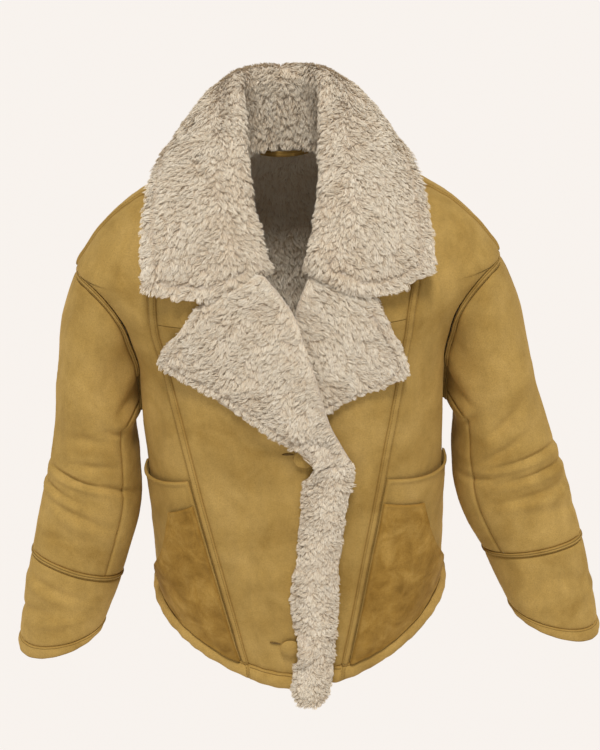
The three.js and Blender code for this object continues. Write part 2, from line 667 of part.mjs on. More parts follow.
function addLapels() {
  add('right_lapel', lapelSheet(
    LAPEL_RIGHT_EDGE,
    LAPEL_RIGHT_FOLD,
    (x, z) => lapRise(x, z) + lerp(...RIGHT_LAPEL_CLEAR, smooth(...RIGHT_TIP_SIDE, x)) + buttonLift(x, z),
    lapelPile,
  ), 'pile');
  add('left_lapel', lapelSheet(
    LAPEL_LEFT_EDGE,
    LAPEL_LEFT_FOLD,
    (x) => lapSink(x) + lerp(...LEFT_LAPEL_CLEAR, smooth(...LEFT_TIP_SIDE, x)),
    (s, x) => Math.min(lapelPile(s), lerp(LAPPED_LAPEL, LAPEL_PILE[1], smooth(...LAPPED_SIDE, x))),
  ), 'pile');
  const last = STRIP.length - 1;
  const place = (s, t) => {
    const [z, left, right] = curved(STRIP, t * last);
    return [lerp(left, right, s), z];
  };
  const under = (s, t) => {
    const [x, z] = place(s, t);
    return lapRise(x, z) + PILE_CLEAR + STRIP_OVER_HEM * smooth(...STRIP_HEM_ENDS, z) + buttonLift(x, z);
  };
  add('front_edge_strip', sheet({
    surface: (s, t) => frontPoint(...place(s, t)),
    core: new THREE.Vector3(0, 0, -500),
    columns: 4,
    rows: 14,
    low: under,
    high: (s, t) => under(s, t) + lerp(...STRIP_PILE, Math.sin(Math.PI * s)),
  }), 'pile');
}

// ---- Buttons ------------------------------------------------------------------------------

function addButtons() {
  for (const button of BUTTONS) {
    const cap = new THREE.LatheGeometry(BUTTON_DOME.map(([r, y]) => new THREE.Vector2(r, y)), 20);
    add(`button_cap_${button.name}`, seatAt(cap, button, BUTTON_HEIGHTS.cap), 'suede');
    const back = new THREE.CylinderGeometry(BACK_RADIUS, BACK_RADIUS, BACK_HEIGHT, 20);
    add(`button_back_${button.name}`, seatAt(back, button, BUTTON_HEIGHTS.back), 'backing');
    const shank = new THREE.CylinderGeometry(SHANK_RADIUS, SHANK_RADIUS, SHANK_LENGTH, 10);
    add(`button_shank_${button.name}`, seatAt(shank, button, BUTTON_HEIGHTS.shank), 'thread');
  }
}

// ---- Hem band -----------------------------------------------------------------------------

function hemSheet(from, to, columns, rise = flat(0)) {
  const surface = (s, t) => {
    const turn = lerp(from, to, s);
    return bodyPoint(turn, hemHeight(turn) + HEM_BAND * (1 - t));
  };
  const round = (t) => Math.sqrt(Math.max(0, 1 - (2 * t - 1) ** 2));
  const base = (s, t) => rise(surface(s, t).x, surface(s, t).z);
  return sheet({
    surface,
    core: new THREE.Vector3(0, 0, HEM_SIDE),
    columns,
    rows: 3,
    low: (s, t) => base(s, t) - CLOTH,
    high: (s, t) => base(s, t) - HEM_TUCK + HEM_ROLL * round(t),
  });
}

function addHem() {
  const seamAt = (side) => frontSeam(side, PANEL_EDGE)(HEM_SIDE - HEM_FRONT_DROP / 2);
  const [right, left] = [seamAt(-1), seamAt(1)];
  const freeRight = turnAt(straight(RIGHT_EDGE, -700) - 1, -700);
  const freeLeft = turnAt(UNDERLAP_EDGE, -700);
  add('hem_band_right_front', hemSheet(right, freeRight, 5, lapRise), 'suede');
  add('hem_band_left_front', hemSheet(freeLeft, left, 5, (x) => 1.5 * lapSink(x)), 'suede');
  add('hem_band_right_side', hemSheet(-Math.PI / 2, right - HEM_SEAM, 4), 'suede');
  add('hem_band_left_side', hemSheet(left + HEM_SEAM, Math.PI / 2, 4), 'suede');
  add('hem_band_back', hemSheet(Math.PI / 2 + HEM_SEAM, 1.5 * Math.PI - HEM_SEAM, 12), 'suede');
}

// ---- Pockets ------------------------------------------------------------------------------

function addPockets() {
  for (const side of SIDES) {
    const name = sideName(side);
    const seam = frontSeam(side, -WELT_HALF - POCKET_SEAM);
    const sideEdge = (z) => side * (Math.PI / 2 - besideTurn(z, POCKET_SIDE, false));
    const mouth = (z) => edgeTurn(side * straight(POCKET_MOUTH, z), z, false, SIDE_CLEAR);
    const cloth = (from, to, top, base, swell) => {
      const foot = (turn) => hemTop(turn) + GAP;
      const surface = (s, t) => {
        const end = foot(lerp(from(HEM_SIDE), to(HEM_SIDE), s));
        const z = lerp(top(s), end, t);
        return bodyPoint(lerp(from(z), to(z), s), z);
      };
      const low = (s, t) => base + swell(s, t);
      return sheet({
        surface,
        core: new THREE.Vector3(0, 0, -500),
        columns: 5,
        rows: 6,
        low,
        high: (s, t) => low(s, t) + POCKET_LAYER,
      });
    };
    const topEdge = (s) => lerp(POCKET_TOP_SEAM, POCKET_TOP_SIDE, s);
    const gape = (s) => POCKET_GAPE * Math.sin(Math.PI * clamp(s, 0, 1));
    const stand = (s, t) => gape(s) * (1 - smooth(0, POCKET_GAPE_END, t));
    add(`pocket_panel_${name}`, cloth(seam, sideEdge, topEdge, POCKET_SKIN, stand), 'suede');
    const patchTop = (s) => topEdge(s * PATCH_WIDTH) - POCKET_DROP;
    const opening = (t) => smooth(...POCKET_ROOM_TOP, t) * (1 - smooth(...POCKET_ROOM_FOOT, t));
    const room = (s, t) => POCKET_ROOM * smooth(...POCKET_ROOM_SIDE, s) * opening(t);
    const follow = (s, t) => PATCH_GAPE * gape(PATCH_WIDTH * s) * (1 - smooth(0, PATCH_GAPE_END, t));
    const lift = (s, t) => follow(s, t) + room(s, t);
    const base = 2 * POCKET_SKIN + POCKET_LAYER;
    add(`pocket_patch_${name}`, cloth(seam, mouth, patchTop, base, lift), 'patch');
  }
}

// ---- Sleeves ------------------------------------------------------------------------------

// A value that goes from the first of a pair over the shoulder to the second under the arm.
const underArm = ([over, under]) => (turn) => lerp(over, under, ((1 - Math.cos(turn)) / 2) ** 2);

const law = (value) => (typeof value === 'number' ? flat(value) : value);

// A sheet of cloth on a sleeve, between two turns and two places along it. The turns may be
// functions of the way along it, and the places of the turn.
function sleeveSheet(side, turns, places, options) {
  const { columns, rows, low = flat(-SLEEVE_CLOTH), high = flat(0), ring = false } = options;
  const [from, to] = places.map(law);
  const [first, last] = turns.map(law);
  const surface = (s, t) => {
    const turn = lerp(first(t), last(t), s);
    return sleevePoint(side, turn, lerp(from(turn), to(turn), t));
  };
  const table = side < 0 ? SLEEVE_RIGHT : SLEEVE_LEFT;
  const [x, y, z] = curved(table, (from(0) + to(0)) / 2);
  return sheet({ surface, core: new THREE.Vector3(side * x, y, z), columns, rows, low, high, ring });
}

function addSleeves() {
  const full = [0, 2 * Math.PI];
  // the top sleeve goes over the outer side; its seams lie in front and behind, towards the inside
  const seamTurn = Math.PI - 2 * UNDER_SHARE;
  const top = [-seamTurn + SLEEVE_SEAM, seamTurn - SLEEVE_SEAM];
  const under = [seamTurn + SLEEVE_SEAM, 2 * Math.PI - seamTurn - SLEEVE_SEAM];
  const slant = (t) => Math.PI - 2 * lerp(ARMHOLE_SHARE, UNDER_SHARE, t);
  const upperTop = (more) => [-1, 1].map((way) => (t) => way * (slant(t) - SLEEVE_SEAM + more));
  const upperUnder = [(t) => slant(t) + SLEEVE_SEAM, (t) => 2 * Math.PI - slant(t) - SLEEVE_SEAM];
  const round = (t) => Math.sqrt(Math.max(0, 1 - (2 * t - 1) ** 2));
  const weltEnd = (turn) => underArm(ARMHOLE_WELT)(turn) + 2 * underArm(ARMHOLE_GAP)(turn);
  const start = (turn) => underArm(ARMHOLE_WELT)(turn) + underArm(ARMHOLE_GAP)(turn);
  for (const side of SIDES) {
    const name = sideName(side);
    const upper = [start, ELBOW[0]];
    const lower = [ELBOW[1], CUFF_SEAM[0] - PLACE_GAP];
    const weltRoom = sleeveSheet(side, full, [flat(ARMHOLE_ROOM_START), weltEnd], {
      columns: 24,
      rows: 1,
      low: flat(-SLEEVE_CLOTH - WELT_ROOM_FACES[0]),
      high: flat(WELT_ROOM_FACES[1]),
      ring: true,
    });
    const topSleeve = cutFrom(sleeveSheet(side, upperTop(0), upper, { columns: 10, rows: 5 }), weltRoom);
    const topRoom = sleeveSheet(side, upperTop(SEAM_ROOM_TURN), upper, {
      columns: 10,
      rows: 5,
      low: flat(-SLEEVE_CLOTH - SEAM_ROOM_FACE),
      high: flat(SEAM_ROOM_FACE),
    });
    const underSleeve = cutFrom(sleeveSheet(side, upperUnder, upper, { columns: 5, rows: 5 }), weltRoom);
    add(`sleeve_top_${name}`, topSleeve, 'suede');
    add(`sleeve_under_${name}`, cutFrom(cutFrom(underSleeve, topRoom), topSleeve), 'suede');
    const ring = { columns: 16, ring: true };
    const elbow = [ELBOW[0] + PLACE_GAP, ELBOW[1] - PLACE_GAP];
    add(`sleeve_elbow_${name}`, sleeveSheet(side, full, elbow, { ...ring, rows: 2 }), 'suede');
    add(`forearm_top_${name}`, sleeveSheet(side, top, lower, { columns: 12, rows: 2 }), 'suede');
    add(`forearm_under_${name}`, sleeveSheet(side, under, lower, { columns: 4, rows: 2 }), 'suede');
    const welt = { ...ring, rows: 1, high: flat(FOREARM_WELT_RISE) };
    add(`forearm_welt_${name}`, sleeveSheet(side, full, CUFF_SEAM, welt), 'suede');
    const cuff = [CUFF_SEAM[1] + PLACE_GAP, CUFF_ROLL - PLACE_GAP];
    add(`cuff_top_${name}`, sleeveSheet(side, top, cuff, { columns: 12, rows: 3 }), 'suede');
    add(`cuff_under_${name}`, sleeveSheet(side, under, cuff, { columns: 4, rows: 3 }), 'suede');
    add(`cuff_roll_${name}`, sleeveSheet(side, full, [CUFF_ROLL, 6], {
      ...ring,
      rows: 3,
      low: (s, t) => -SLEEVE_CLOTH - ROLL_INNER * round(t),
      high: (s, t) => ROLL_SWELL * round(t) - ROLL_TUCK,
    }), 'suede');
  }
}

// ---- Collar -------------------------------------------------------------------------------

// Moves a point straight out from the middle until it is clear of the body's surface.
function clearOfBody(point, distance) {
  if (point.z > BODY[0][0]) return point;
  const { width, front, back } = bodySection(point.z);
  const depth = (point.y < 0 ? front : back) + distance;
  const [across, along] = [Math.abs(point.x) / (width + distance), Math.abs(point.y) / depth];
  const share = across ** ROUNDNESS + along ** ROUNDNESS;
  if (share >= 1) return point;
  const scale = share ** (-1 / ROUNDNESS);
  point.x *= scale;
  point.y *= scale;
  return point;
}

// A point of a collar curve, from the wearer's right end at -1 to the left end at +1.
function collarCurve(table, around) {
  const [x, y, z] = curved(table, Math.abs(around) * (table.length - 1));
  return new THREE.Vector3(Math.sign(around) * x, y, z);
}

function collarLeaf(around, across) {
  const point = collarCurve(COLLAR_FOLD, around).lerp(collarCurve(COLLAR_EDGE, around), across);
  const bow = Math.sin(Math.PI * clamp(across, 0, 1));
  const end = smooth(...COLLAR_ENDS, Math.abs(around));
  point.z += bow * (COLLAR_CROWN * (1 - end) - GORGE_DROOP * end);
  const out = point.clone().setZ(0).normalize();
  point.addScaledVector(out, bow * COLLAR_SWELL * (1 - end));
  return clearOfBody(point, COLLAR_CLEAR);
}

function addCollar() {
  const leaf = (s, t) => collarLeaf(lerp(-1, 1, s), t);
  const rounded = (t) => Math.sqrt(Math.sin(Math.PI * clamp(t, 0.05, 0.95)));
  const core = new THREE.Vector3(0, 0, -60);
  add('collar_leaf', sheet({
    surface: leaf,
    core,
    columns: 24,
    rows: 4,
    low: flat(-COLLAR_UNDER),
    high: (s, t) => lerp(2, COLLAR_PILE, rounded(t)),
  }), 'pile');
  add('under_collar', sheet({
    surface: leaf,
    core,
    columns: 24,
    rows: 4,
    low: flat(-COLLAR_UNDER - GAP - UNDER_COLLAR),
    high: flat(-COLLAR_UNDER - GAP),
  }), 'suede');
  const stand = (s, t) => {
    const around = lerp(-STAND_END, STAND_END, s);
    const fold = collarCurve(COLLAR_FOLD, around);
    return collarCurve(COLLAR_SEAM, around).lerp(fold, STAND_TOP * t);
  };
  add('collar_stand', sheet({
    surface: stand,
    core: new THREE.Vector3(0, 0, 40),
    columns: 20,
    rows: 2,
    low: flat(STAND_FACES[0]),
    high: flat(STAND_FACES[1]),
  }), 'pile');
}

// ---- Hanger loop --------------------------------------------------------------------------

function addLoop() {
  const section = new THREE.Shape();
  section.moveTo(-LOOP_SPAN / 2, 0);
  section.quadraticCurveTo(0, -2 * LOOP_REACH, LOOP_SPAN / 2, 0);
  section.lineTo(LOOP_SPAN / 2 - LOOP_THICKNESS, GAP);
  section.quadraticCurveTo(0, 2 * (LOOP_THICKNESS - LOOP_REACH), LOOP_THICKNESS - LOOP_SPAN / 2, GAP);
  section.closePath();
  const options = { depth: LOOP_WIDTH, bevelEnabled: false, curveSegments: 8 };
  const loop = new THREE.ExtrudeGeometry(section, options).translate(0, LOOP_BACK, LOOP_HEIGHT);
  add('hanger_loop', loop, 'suede');
}

addPanels();
addWelts();
addFronts();
addLapels();
addButtons();
addHem();
addPockets();
addSleeves();
addCollar();
addLoop();

export default jacket;
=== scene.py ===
import math

import bpy
import numpy as np
from mathutils import Matrix, Vector
from mathutils.kdtree import KDTree


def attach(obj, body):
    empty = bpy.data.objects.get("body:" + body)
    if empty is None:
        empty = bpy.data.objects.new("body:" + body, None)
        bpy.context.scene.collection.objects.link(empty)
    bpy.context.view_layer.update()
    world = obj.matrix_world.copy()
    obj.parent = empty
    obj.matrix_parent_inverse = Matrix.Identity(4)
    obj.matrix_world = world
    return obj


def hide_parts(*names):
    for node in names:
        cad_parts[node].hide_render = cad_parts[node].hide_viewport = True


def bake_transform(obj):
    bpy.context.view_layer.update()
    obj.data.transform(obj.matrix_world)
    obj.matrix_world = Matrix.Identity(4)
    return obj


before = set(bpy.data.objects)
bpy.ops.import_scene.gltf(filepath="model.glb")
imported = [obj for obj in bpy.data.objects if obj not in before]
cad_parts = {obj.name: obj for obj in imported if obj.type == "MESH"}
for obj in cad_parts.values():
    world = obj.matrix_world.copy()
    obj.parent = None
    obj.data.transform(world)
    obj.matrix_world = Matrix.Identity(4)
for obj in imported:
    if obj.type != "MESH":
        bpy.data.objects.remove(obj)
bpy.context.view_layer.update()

# A hip-length jacket of suede bonded to pile. Lengths are in millimetres until a mesh is made.
# +X is the wearer's left, -Y the front, +Z up, and the origin is the middle of the neck.

MM = 0.001
SIDES = ((-1, "right"), (1, "left"))

# ---- Driving dimensions

CLOTH = 7.0  # thickness of the bonded cloth, on the body and on the sleeves
SLEEVE_CLOTH = 4.5
WELT_HALF = 4.5  # half a welt's width, and how far it stands up
WELT_RISE = 2.5
PANEL_EDGE = 5.0  # how far panels stay from the line over the shoulder, and from the side line below
SIDE_CLEAR = 0.4
BODY = np.array([  # height, half width, depth in front, depth behind
    [-5, 75, 60, 72], [-20, 115, 70, 86], [-34, 153, 78, 96], [-55, 189, 88, 106], [-70, 210, 95, 112],
    [-90, 231, 104, 118], [-110, 247, 112, 122], [-135, 262, 121, 126], [-165, 247, 130, 129],
    [-200, 221, 137, 132], [-240, 204, 143, 134], [-280, 198, 147, 135], [-350, 197, 149, 137],
    [-450, 198, 151, 141], [-600, 198, 153, 144], [-650, 190, 151, 141], [-760, 172, 146, 134]], float)
ROUNDNESS = 2.2  # exponent of the body's sections
SHOULDER_END = -135.5
ARMPIT = -343
# seams: height, distance from the middle
SEAM_FRONT = [[-30, 163], [-79, 158], [-134, 155], [-190, 152], [-690, 66], [-760, 54]]
SEAM_BACK = [[-30, 150], [-134, 142], [-260, 118], [-400, 98], [-640, 92], [-760, 92]]
SEAM_SHIFT = -10
HEM_SIDE = -640  # the hem's height at the sides, and how much lower it is in front and behind
HEM_FRONT_DROP = 72
HEM_BACK_DROP = 22
HEM_BAND = 28
HEM_TUCK = 3.0  # the panels run on under the hem's roll
FRONT_TOP = -172
RIGHT_EDGE = [[-150, 0], [-225, 21], [-283, 35], [-341, 54], [-366, 60], [-465, 46], [-545, 41],
              [-632, 36], [-740, 22]]
UNDERLAP_EDGE = -16
NECK_EDGE = [[-8, 68], [-34, 66], [-60, 60], [-100, 40], [-146, 9], [-175, 3]]
SLEEVE = {  # x, y, z, lift, half width, depth and tilt of sections down the arm
    -1: np.array([[232, 0, -238, 73, 106, 82, 0], [253, -8, -322, 38, 61, 77, 5],
                  [260, -22, -388, 24, 61, 72, 12], [271, -38, -450, 18, 66, 64, 15],
                  [302, -58, -548, 24, 64, 57, 18], [322, -72, -610, 5, 61, 52, 8],
                  [335, -80, -655, -14, 62, 50, -5]], float),
    1: np.array([[232, 0, -238, 73, 106, 82, 0], [256, -8, -322, 38, 64, 77, 5],
                 [268, -22, -389, 24, 69, 74, 12], [284, -38, -455, 18, 74, 67, 15],
                 [318, -58, -542, 10, 68, 58, 18], [338, -72, -607, -4, 65, 53, 8],
                 [353, -80, -655, -20, 67, 50, -5]], float)}
ARMHOLE_BOW = 47  # how far the armhole bows towards the neck
UNDERARM_BOW = 0.12
BOW_FADE = (0.5, -0.95)
UNDERARM_LEAST = 201  # the sleeve's nearest distance from the middle, under the arm
UNDERARM_ENDS = (-190, -320)
SOFT_CHANGE = 16
# collar lines: x, y, z from the middle of the back to the front
COLLAR_FOLD = np.array([[0, 62, 84], [34, 50, 86], [51, 12, 82], [47, -34, 24], [44, -78, -26],
                        [35, -104, -74], [29, -116, -98]], float)
COLLAR_EDGE = np.array([[0, 124, -24], [78, 112, -16], [128, 66, -8], [152, 2, -14], [163, -55, -40],
                        [170, -104, -84], [171, -118, -120]], float)
COLLAR_SEAM = np.array([[0, 61, 6], [42, 51, 4], [66, 12, 2], [64, -30, -14], [55, -68, -48],
                        [42, -96, -82], [33, -110, -104]], float)
COLLAR_CROWN = 12
COLLAR_SWELL = 6
COLLAR_ENDS = (0.72, 1)
COLLAR_CLEAR = 11.5
GORGE_DROOP = 21
# lapel lines: x, z down the front
LAPEL_RIGHT_EDGE = np.array([[-104, -143], [-150, -206], [-146, -226], [-91, -252], [-37, -284],
                             [-5, -314], [14, -344]], float)
LAPEL_RIGHT_FOLD = np.array([[-26, -110], [3, -148], [16, -185], [27, -225], [41, -283], [54, -318],
                             [66, -343]], float)
LAPEL_LEFT_EDGE = np.array([[97, -137], [121, -190], [134, -229], [126, -241], [103, -250], [67, -262],
                            [40, -276]], float)
LAPEL_LEFT_FOLD = np.array([[26, -110], [8, -149], [6, -175], [6, -200], [6, -230], [6, -255],
                            [6, -281]], float)
STRIP = np.array([  # height, inner x, outer x
    [-346, 15, 68], [-366, 12, 67], [-462, 3, 51], [-541, -9, 46], [-627, -4, 41], [-700, -14, 34],
    [-734, -6, 22]], float)
BUTTONS = (("upper", 12, -334), ("lower", -15, -630))  # name, x, z
LAPEL_HOLE = (-87, -216)  # a worked hole shows in the right lapel's pile
POCKET_TOP = (-386, -424)
POCKET_MOUTH = [[-440, 158], [-482, 163], [-515, 172], [-555, 186], [-600, 194]]
POCKET_DROP = 33
PATCH_WIDTH = 0.62
UNDER_SHARE = math.pi / 8
WELT_PLACE = (3.965, 4.035)  # the forearm welt and the cuff's roll, in sections down the arm
CUFF_ROLL = 5.62
SPLIT_PLACE = 2.0  # the upper and lower sleeve pieces meet here
SEAM_TURN = np.pi - 2 * UNDER_SHARE

# ---- Numbers


def smooth(a, b, v):
    t = np.clip((np.asarray(v, float) - a) / (b - a), 0, 1)
    return t * t * (3 - 2 * t)


def lerp(a, b, t):
    return a + (b - a) * t


def straight(table, z):
    """A table of height and value, read at heights z along straight lines."""
    rows = np.array(table, float)[::-1]
    return np.interp(z, rows[:, 0], rows[:, 1])


def curved(table, place):
    """The rows of a table, read at places between them along a smooth curve."""
    place = np.asarray(place, float)
    last = len(table) - 1
    row = np.clip(np.floor(place).astype(int), 0, last - 1)
    t = (place - row)[..., None]
    a, b, c, d = (table[np.clip(row + k, 0, last)] for k in (-1, 0, 1, 2))
    cubic = 1.5 * (b - c) + 0.5 * (d - a)
    return b + t * (0.5 * (c - a) + t * ((a - 2.5 * b + 2 * c - 0.5 * d) + t * cubic))


def lattice(i, j, k, seed):
    n = (i * 374761393 + j * 668265263 + k * 1274126177 + seed * 974634777) & 0xFFFFFFFF
    n = ((n ^ (n >> 13)) * 1274126177) & 0xFFFFFFFF
    return ((n ^ (n >> 16)) & 0xFFFF) / 32767.5 - 1


def noise(p, size, seed=0):
    """Smooth value noise from -1 to 1 at points p, with bumps about `size` across."""
    q = np.asarray(p, float) / size + 1000.0
    base = np.floor(q).astype(np.int64)
    f = q - base
    f = f * f * (3 - 2 * f)
    total = 0
    for corner in np.ndindex(2, 2, 2):
        x, y, z = (f[..., k] if on else 1 - f[..., k] for k, on in enumerate(corner))
        i, j, k = (base[..., k] + on for k, on in enumerate(corner))
        total = total + x * y * z * lattice(i, j, k, seed)
    return total


def unit(v):
    return v / np.maximum(np.linalg.norm(v, axis=-1, keepdims=True), 1e-9)


def bump_at(v, width):
    """1 at v = 0, falling off over a width."""
    return np.exp(-(v / width) ** 2)


def dome(t):
    """A half circle's height over 0 to 1."""
    return np.sqrt(np.clip(1 - (2 * t - 1) ** 2, 0, 1))


def within(turn):
    return (turn + np.pi) % (2 * np.pi) - np.pi


# ---- The jacket's surfaces


def body_section(z):
    """Half width, depth in front and depth behind at a height."""
    z = np.asarray(z, float)
    row = np.clip(np.searchsorted(-BODY[:, 0], -z, side="left"), 1, len(BODY) - 1)
    high, low = BODY[row - 1, 0], BODY[row, 0]
    place = np.clip(row - 1 + (z - high) / (low - high), 0, len(BODY) - 1)
    s = curved(BODY, place)
    return s[..., 1], s[..., 2], s[..., 3]


def body_point(turn, z):
    """A point on the body: turn is 0 in front, positive to the wearer's left and pi behind."""
    turn, z = np.broadcast_arrays(np.asarray(turn, float), np.asarray(z, float))
    width, front, back = body_section(z)
    s, c = np.sin(turn), np.cos(turn)
    power = 2 / ROUNDNESS
    x = width * np.sign(s) * np.abs(s) ** power
    y = -np.where(c > 0, front, back) * np.sign(c) * np.abs(c) ** power
    return np.stack([x, y, z], -1)


def turn_at(x, z):
    """The turn on the front that has this x."""
    width = body_section(z)[0]
    return np.sign(x) * np.arcsin(np.clip(np.abs(x) / width, 0, 1) ** (ROUNDNESS / 2))


def front_point(x, z):
    x, z = np.broadcast_arrays(np.asarray(x, float), np.asarray(z, float))
    return body_point(turn_at(x, z), z)


def seam_x(side, z):
    return side * straight(SEAM_FRONT, z) + SEAM_SHIFT * smooth(-60, -190, z)


def hem_height(turn):
    c = np.cos(turn)
    return HEM_SIDE - np.where(c > 0, HEM_FRONT_DROP, HEM_BACK_DROP) * c * c


def hem_top(turn):
    return hem_height(turn) + HEM_BAND + 0.6


def beside_turn(z, inset, behind):
    """How much turn an inset from the side line takes up."""
    _, front, back = body_section(z)
    return np.arcsin(np.clip(inset / (back if behind else front), 0, 1) ** (ROUNDNESS / 2))


def edge_turn(x, z, behind, inset):
    """The turn of an edge at x, kept an inset away from the side line."""
    most = np.pi / 2 - beside_turn(z, inset, behind)
    turn = np.minimum(np.abs(turn_at(np.abs(x), z)), most) * np.sign(x)
    return np.sign(x) * np.pi - turn if behind else turn


def shoulder_inset(z):
    return np.where(np.asarray(z) > SHOULDER_END, PANEL_EDGE, SIDE_CLEAR)


def front_seam(side, inset):
    return lambda z: edge_turn(seam_x(side, z) - side * inset, z, False, shoulder_inset(z))


def back_seam(side, inset):
    return lambda z: edge_turn(side * (straight(SEAM_BACK, z) - inset), z, True, shoulder_inset(z))


def armhole_bow(c):
    return ARMHOLE_BOW * np.clip(1 - c * c, 0, 1) ** 0.4 * lerp(1, UNDERARM_BOW, smooth(*BOW_FADE, c))


def armhole_x(z):
    """How far from the middle the armhole's seam is at a height."""
    turn = np.linspace(np.pi, 0, 181)
    ring = sleeve_tube(1, turn, 0 * turn)
    return np.interp(z, ring[:, 2], np.minimum(ring[:, 0], body_section(ring[:, 2])[0]))


def outer_edge(side, behind, inset):
    """A panel's outer edge: the side line, and the armhole where there is one."""
    def turn(z):
        z = np.asarray(z, float)
        inside = (z <= SHOULDER_END) & (z > ARMPIT)
        line = np.where(inside, armhole_x(z) - inset, body_section(z)[0])
        return edge_turn(side * line, z, behind, shoulder_inset(z))
    return turn


def sleeve_tube(side, turn, place):
    """A sleeve's surface: turn goes round it, and place counts the sections down the arm."""
    row = curved(SLEEVE[side], place)
    x, y, z, lift, half, deep, tilt = (row[..., k] for k in range(7))
    power = 2 / lerp(3, 2.1, smooth(0, 2, place))
    c, s = np.cos(turn), np.sin(turn)
    wide = half * np.sign(c) * np.abs(c) ** power
    deep = deep * np.sign(s) * np.abs(s) ** power
    up, tip = np.radians(lift), np.radians(tilt)
    height = z + wide * np.sin(up) + deep * np.sin(tip)
    least = UNDERARM_LEAST * smooth(*UNDERARM_ENDS, height)
    own = x + wide * np.cos(up) - armhole_bow(c) * (1 - smooth(0, 1.1, place))
    across = 0.5 * (own + least + np.hypot(own - least, SOFT_CHANGE))
    return np.stack([side * across, y - deep * np.cos(tip), height], -1)


def armhole_ring(side, turn):
    """The armhole's seam: the sleeve's first section moved on to the draped body."""
    ring = sleeve_tube(side, turn, np.zeros(np.shape(turn)))
    width, front, back = body_section(ring[..., 2])
    x = np.minimum(np.abs(ring[..., 0]), width)
    depth = np.where(np.sin(turn) > 0, front, back)
    y = -np.sign(np.sin(turn)) * depth * np.clip(1 - (x / width) ** ROUNDNESS, 0, 1) ** (1 / ROUNDNESS)
    p = np.stack([side * x, y, ring[..., 2]], -1)
    out = unit(np.stack([side * (x / width) ** (ROUNDNESS - 1) / width,
                         np.sign(y) * (np.abs(y) / depth) ** (ROUNDNESS - 1) / depth, 0 * x], -1))
    return p + out * body_drape(p)[..., None]


def sleeve_point(side, turn, place):
    """The sleeve's surface, drawn on to the armhole's seam at its top."""
    turn, place = np.broadcast_arrays(np.asarray(turn, float), np.asarray(place, float))
    shift = armhole_ring(side, turn) - sleeve_tube(side, turn, 0 * turn)
    return sleeve_tube(side, turn, place) + shift * (1 - smooth(0, 0.9, place))[..., None]


def collar_curve(table, around):
    """A collar line from -1 at the right front end over 0 behind to 1 at the left."""
    p = curved(table, np.abs(around) * (len(table) - 1))
    return np.stack([np.sign(around) * p[..., 0], p[..., 1], p[..., 2]], -1)


def collar_leaf(around, across):
    """The leaf from its fold at across 0 to its edge at 1, lying over the shoulders."""
    around, across = np.broadcast_arrays(np.asarray(around, float), np.asarray(across, float))
    t = across[..., None]
    p = collar_curve(COLLAR_FOLD, around) * (1 - t) + collar_curve(COLLAR_EDGE, around) * t
    bow = np.sin(np.pi * np.clip(across, 0, 1))
    end = smooth(*COLLAR_ENDS, np.abs(around))
    p[..., 2] += bow * (COLLAR_CROWN * (1 - end) - GORGE_DROOP * end)
    out = unit(p * [1, 1, 0])
    p = p + out * (bow * COLLAR_SWELL * (1 - end))[..., None]
    width, front, back = body_section(p[..., 2])
    depth = np.where(p[..., 1] < 0, front, back) + COLLAR_CLEAR
    share = ((np.abs(p[..., 0]) / (width + COLLAR_CLEAR)) ** ROUNDNESS
             + (np.abs(p[..., 1]) / depth) ** ROUNDNESS)
    scale = np.where((share < 1) & (p[..., 2] <= BODY[0, 0]), np.maximum(share, 1e-6) ** (-1 / ROUNDNESS), 1)
    p[..., :2] *= scale[..., None]
    return p


def lap_rise(x, z):
    """How far the right front stands off where it laps over the left one."""
    return smooth(-100, -12, x) * (4 + 9 * smooth(-320, -288, z))


def lap_sink(x, z):
    """How far the left front sinks under the right one."""
    at_seam = seam_x(1, z)
    return -6 * (1 - smooth(60, 105, x)) * (1 - smooth(at_seam - 30, at_seam - 8, x))


def button_lift(x, z):
    """How far the pile stands off round a button."""
    near = np.minimum(*(np.hypot(x - bx, z - bz) for _, bx, bz in BUTTONS))
    return 9 * (1 - smooth(17, 36, near))


# Soft swells and folds of the cloth, in millimetres out of the surface.
BODY_FOLDS = (  # x, z, length, width, slope of its line (dx per dz), height; front face only
    (-188, -330, 150, 11, 0.10, 4.5), (-172, -270, 90, 13, 0.25, -3.0), (-150, -455, 80, 16, 0.15, 1.6),
    (183, -335, 150, 11, -0.08, 4.0), (168, -265, 90, 13, -0.25, -3.0), (-60, -470, 170, 26, 0.05, -1.6),
    (-20, -560, 120, 22, -0.08, 1.4), (120, -560, 90, 16, 0.12, 1.5), (-125, -610, 70, 18, 0.2, -1.5))


def body_drape(p):
    x, z = p[..., 0], p[..., 2]
    d = 1.7 * noise(p * [1, 1, 0.45], 95, 3) + 0.7 * noise(p, 38, 5)
    front = smooth(10, -40, p[..., 1])
    for fx, fz, length, width, slope, height in BODY_FOLDS:
        across = (x - fx - slope * (z - fz)) / width
        along = (z - fz) / (0.5 * length)
        d = d + front * height * np.exp(-across ** 2 - along ** 2)
    pucker = smooth(-600, -655, z) * 0.4 * np.sin(np.arctan2(x, -p[..., 1]) * 46 + 3 * noise(p, 40, 8))
    return d + pucker


